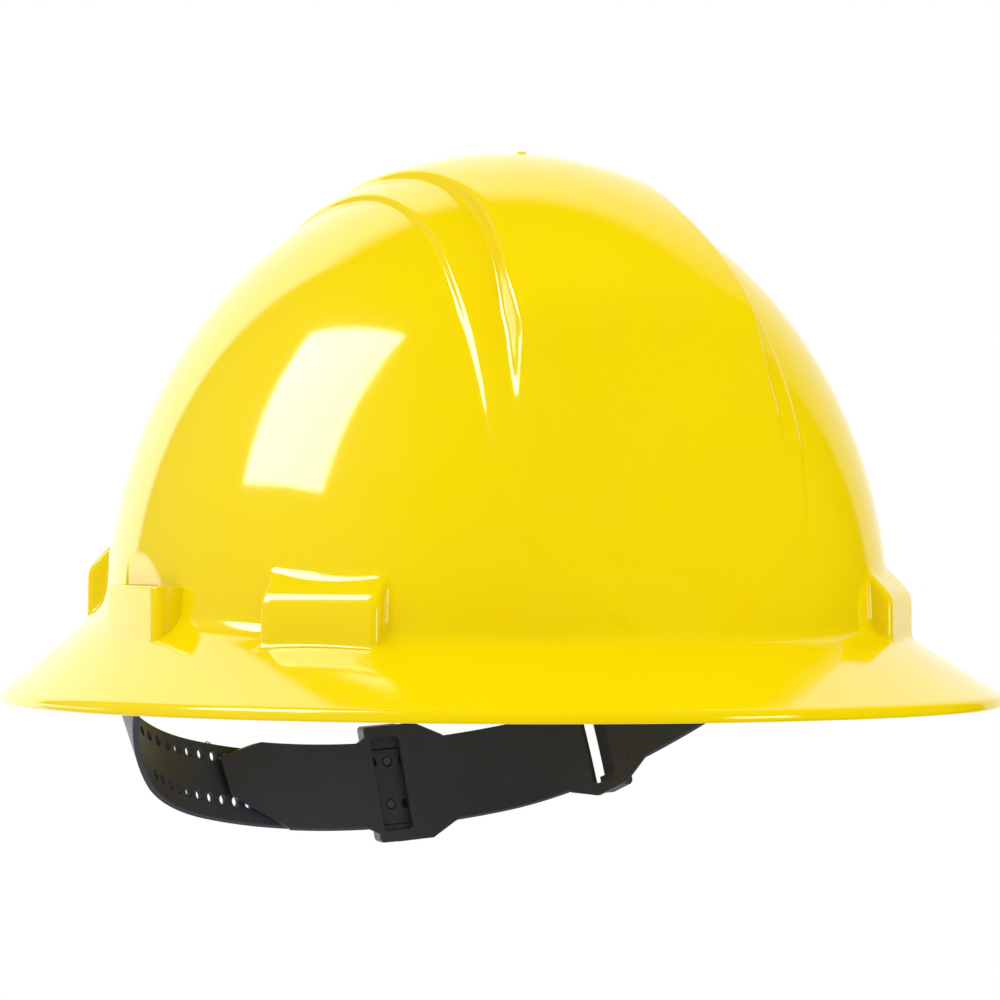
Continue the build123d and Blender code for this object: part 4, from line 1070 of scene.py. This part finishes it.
def make_world():
    world = bpy.data.worlds.new("studio")
    bpy.context.scene.world = world
    world.use_nodes = True
    tree = world.node_tree
    tree.nodes.clear()
    coord = tree.nodes.new("ShaderNodeTexCoord")

    def along(vector):
        node = tree.nodes.new("ShaderNodeVectorMath")
        node.operation = "DOT_PRODUCT"
        tree.links.new(coord.outputs["Generated"], node.inputs[0])
        node.inputs[1].default_value = vector
        return node.outputs["Value"]

    ahead = along(tuple(FORWARD))
    side = along(tuple(RIGHT))
    height = along((0, 0, 1))
    safe = math_node(tree, "MAXIMUM", ahead, 0.03)
    q = math_node(tree, "DIVIDE", side, safe)
    r = math_node(tree, "DIVIDE", height, safe)
    slanted = math_node(tree, "SUBTRACT", q, math_node(tree, "MULTIPLY", r, 0.55))
    right_edge = map_range(tree, slanted, 0.72, 0.80, 1, 0)
    left_edge = map_range(tree, q, -1.08, -0.98, 0, 1)
    top_edge = map_range(tree, r, 1.3, 1.9, 1, 0)
    front = map_range(tree, ahead, 0.05, 0.15, 0, 1)
    level = map_range(tree, q, -1.0, 1.0, 2.1, 0.32, False)
    low_edge = map_range(tree, r, -1.0, -0.05, 0.5, 1)
    glossy = level
    for part in (right_edge, left_edge, top_edge, low_edge, front):
        glossy = math_node(tree, "MULTIPLY", glossy, part)
    left_fill = map_range(tree, side, -1.0, -0.3, 0.4, 0.0)
    glossy = math_node(tree, "MAXIMUM", glossy, left_fill)
    strip = map_range(tree, math_node(tree, "ABSOLUTE", height), 0.08, 0.14, 9.0, 0.0)
    for part in (map_range(tree, side, 0.68, 0.74, 0, 1), map_range(tree, side, 0.86, 0.92, 1, 0),
                 map_range(tree, ahead, -0.3, -0.2, 1, 0)):
        strip = math_node(tree, "MULTIPLY", strip, part)
    glossy = math_node(tree, "MAXIMUM", glossy, strip)
    strip = map_range(tree, math_node(tree, "ABSOLUTE", height), 0.03, 0.09, 2.2, 0.0)
    for part in (map_range(tree, side, -0.97, -0.93, 0, 1), map_range(tree, side, -0.62, -0.56, 1, 0),
                 map_range(tree, ahead, 0.1, 0.2, 0, 1)):
        strip = math_node(tree, "MULTIPLY", strip, part)
    glossy = math_node(tree, "MAXIMUM", glossy, strip)
    path = tree.nodes.new("ShaderNodeLightPath")
    diffuse = map_range(tree, height, -1.0, 1.0, 0.86, 1.10, False)

    def mix(fac, a, b):
        node = tree.nodes.new("ShaderNodeMix")
        node.data_type = "FLOAT"
        tree.links.new(fac, node.inputs[0])
        for socket, value in ((node.inputs[2], a), (node.inputs[3], b)):
            if isinstance(value, (int, float)):
                socket.default_value = value
            else:
                tree.links.new(value, socket)
        return node.outputs[0]

    strength = mix(path.outputs["Is Glossy Ray"], diffuse, glossy)
    strength = mix(path.outputs["Is Transmission Ray"], strength, 1.0)
    strength = mix(path.outputs["Is Camera Ray"], strength, 1.0)
    background = tree.nodes.new("ShaderNodeBackground")
    background.inputs["Color"].default_value = (1, 1, 1, 1)
    tree.links.new(strength, background.inputs["Strength"])
    out = tree.nodes.new("ShaderNodeOutputWorld")
    tree.links.new(background.outputs[0], out.inputs["Surface"])


def softbox(name, corners, strength):
    """Glowing panel that only shows in reflections."""
    mesh = bpy.data.meshes.new(name)
    mesh.from_pydata([tuple(c * MM for c in corner) for corner in corners], [], [(0, 1, 2, 3)])
    obj = bpy.data.objects.new(name, mesh)
    bpy.context.scene.collection.objects.link(obj)
    mat = bpy.data.materials.new(name)
    mat.use_nodes = True
    tree = mat.node_tree
    tree.nodes.clear()
    glow = tree.nodes.new("ShaderNodeEmission")
    glow.inputs["Strength"].default_value = strength
    out = tree.nodes.new("ShaderNodeOutputMaterial")
    tree.links.new(glow.outputs[0], out.inputs["Surface"])
    mesh.materials.append(mat)
    obj.visible_camera = False
    obj.visible_diffuse = False
    obj.visible_shadow = False
    return obj


def lamp(name, location, target, size, energy, glossy):
    data = bpy.data.lights.new(name, "AREA")
    data.shape = "RECTANGLE"
    data.size = size[0]
    data.size_y = size[1]
    data.energy = energy
    obj = bpy.data.objects.new(name, data)
    bpy.context.scene.collection.objects.link(obj)
    obj.location = location
    aim = Vector(target) - Vector(location)
    obj.rotation_euler = aim.to_track_quat("-Z", "Y").to_euler()
    obj.visible_glossy = glossy
    obj.visible_camera = False
    return obj


# The key softbox stands upright beside the hat. Its corners are (along y, height).
SOFTBOX_PLANE = -1200.0
SOFTBOX_OUTLINE = [(880.0, 1690.0), (-120.0, 2300.0), (-150.0, 580.0), (480.0, 550.0)]
SOFTBOX_CORNERS = [(SOFTBOX_PLANE, y, z) for y, z in SOFTBOX_OUTLINE]
SOFTBOX_GLOW = 15.0

make_world()
softbox("key_softbox", SOFTBOX_CORNERS, SOFTBOX_GLOW)
lamp("key", (-1.6, -0.6, 1.6), (0, 0, 0.05), (1.2, 1.2), 9.0, False)
lamp("right_fill", (2.0, -0.9, 0.7), (0.05, 0, 0.05), (1.2, 1.2), 7.0, False)
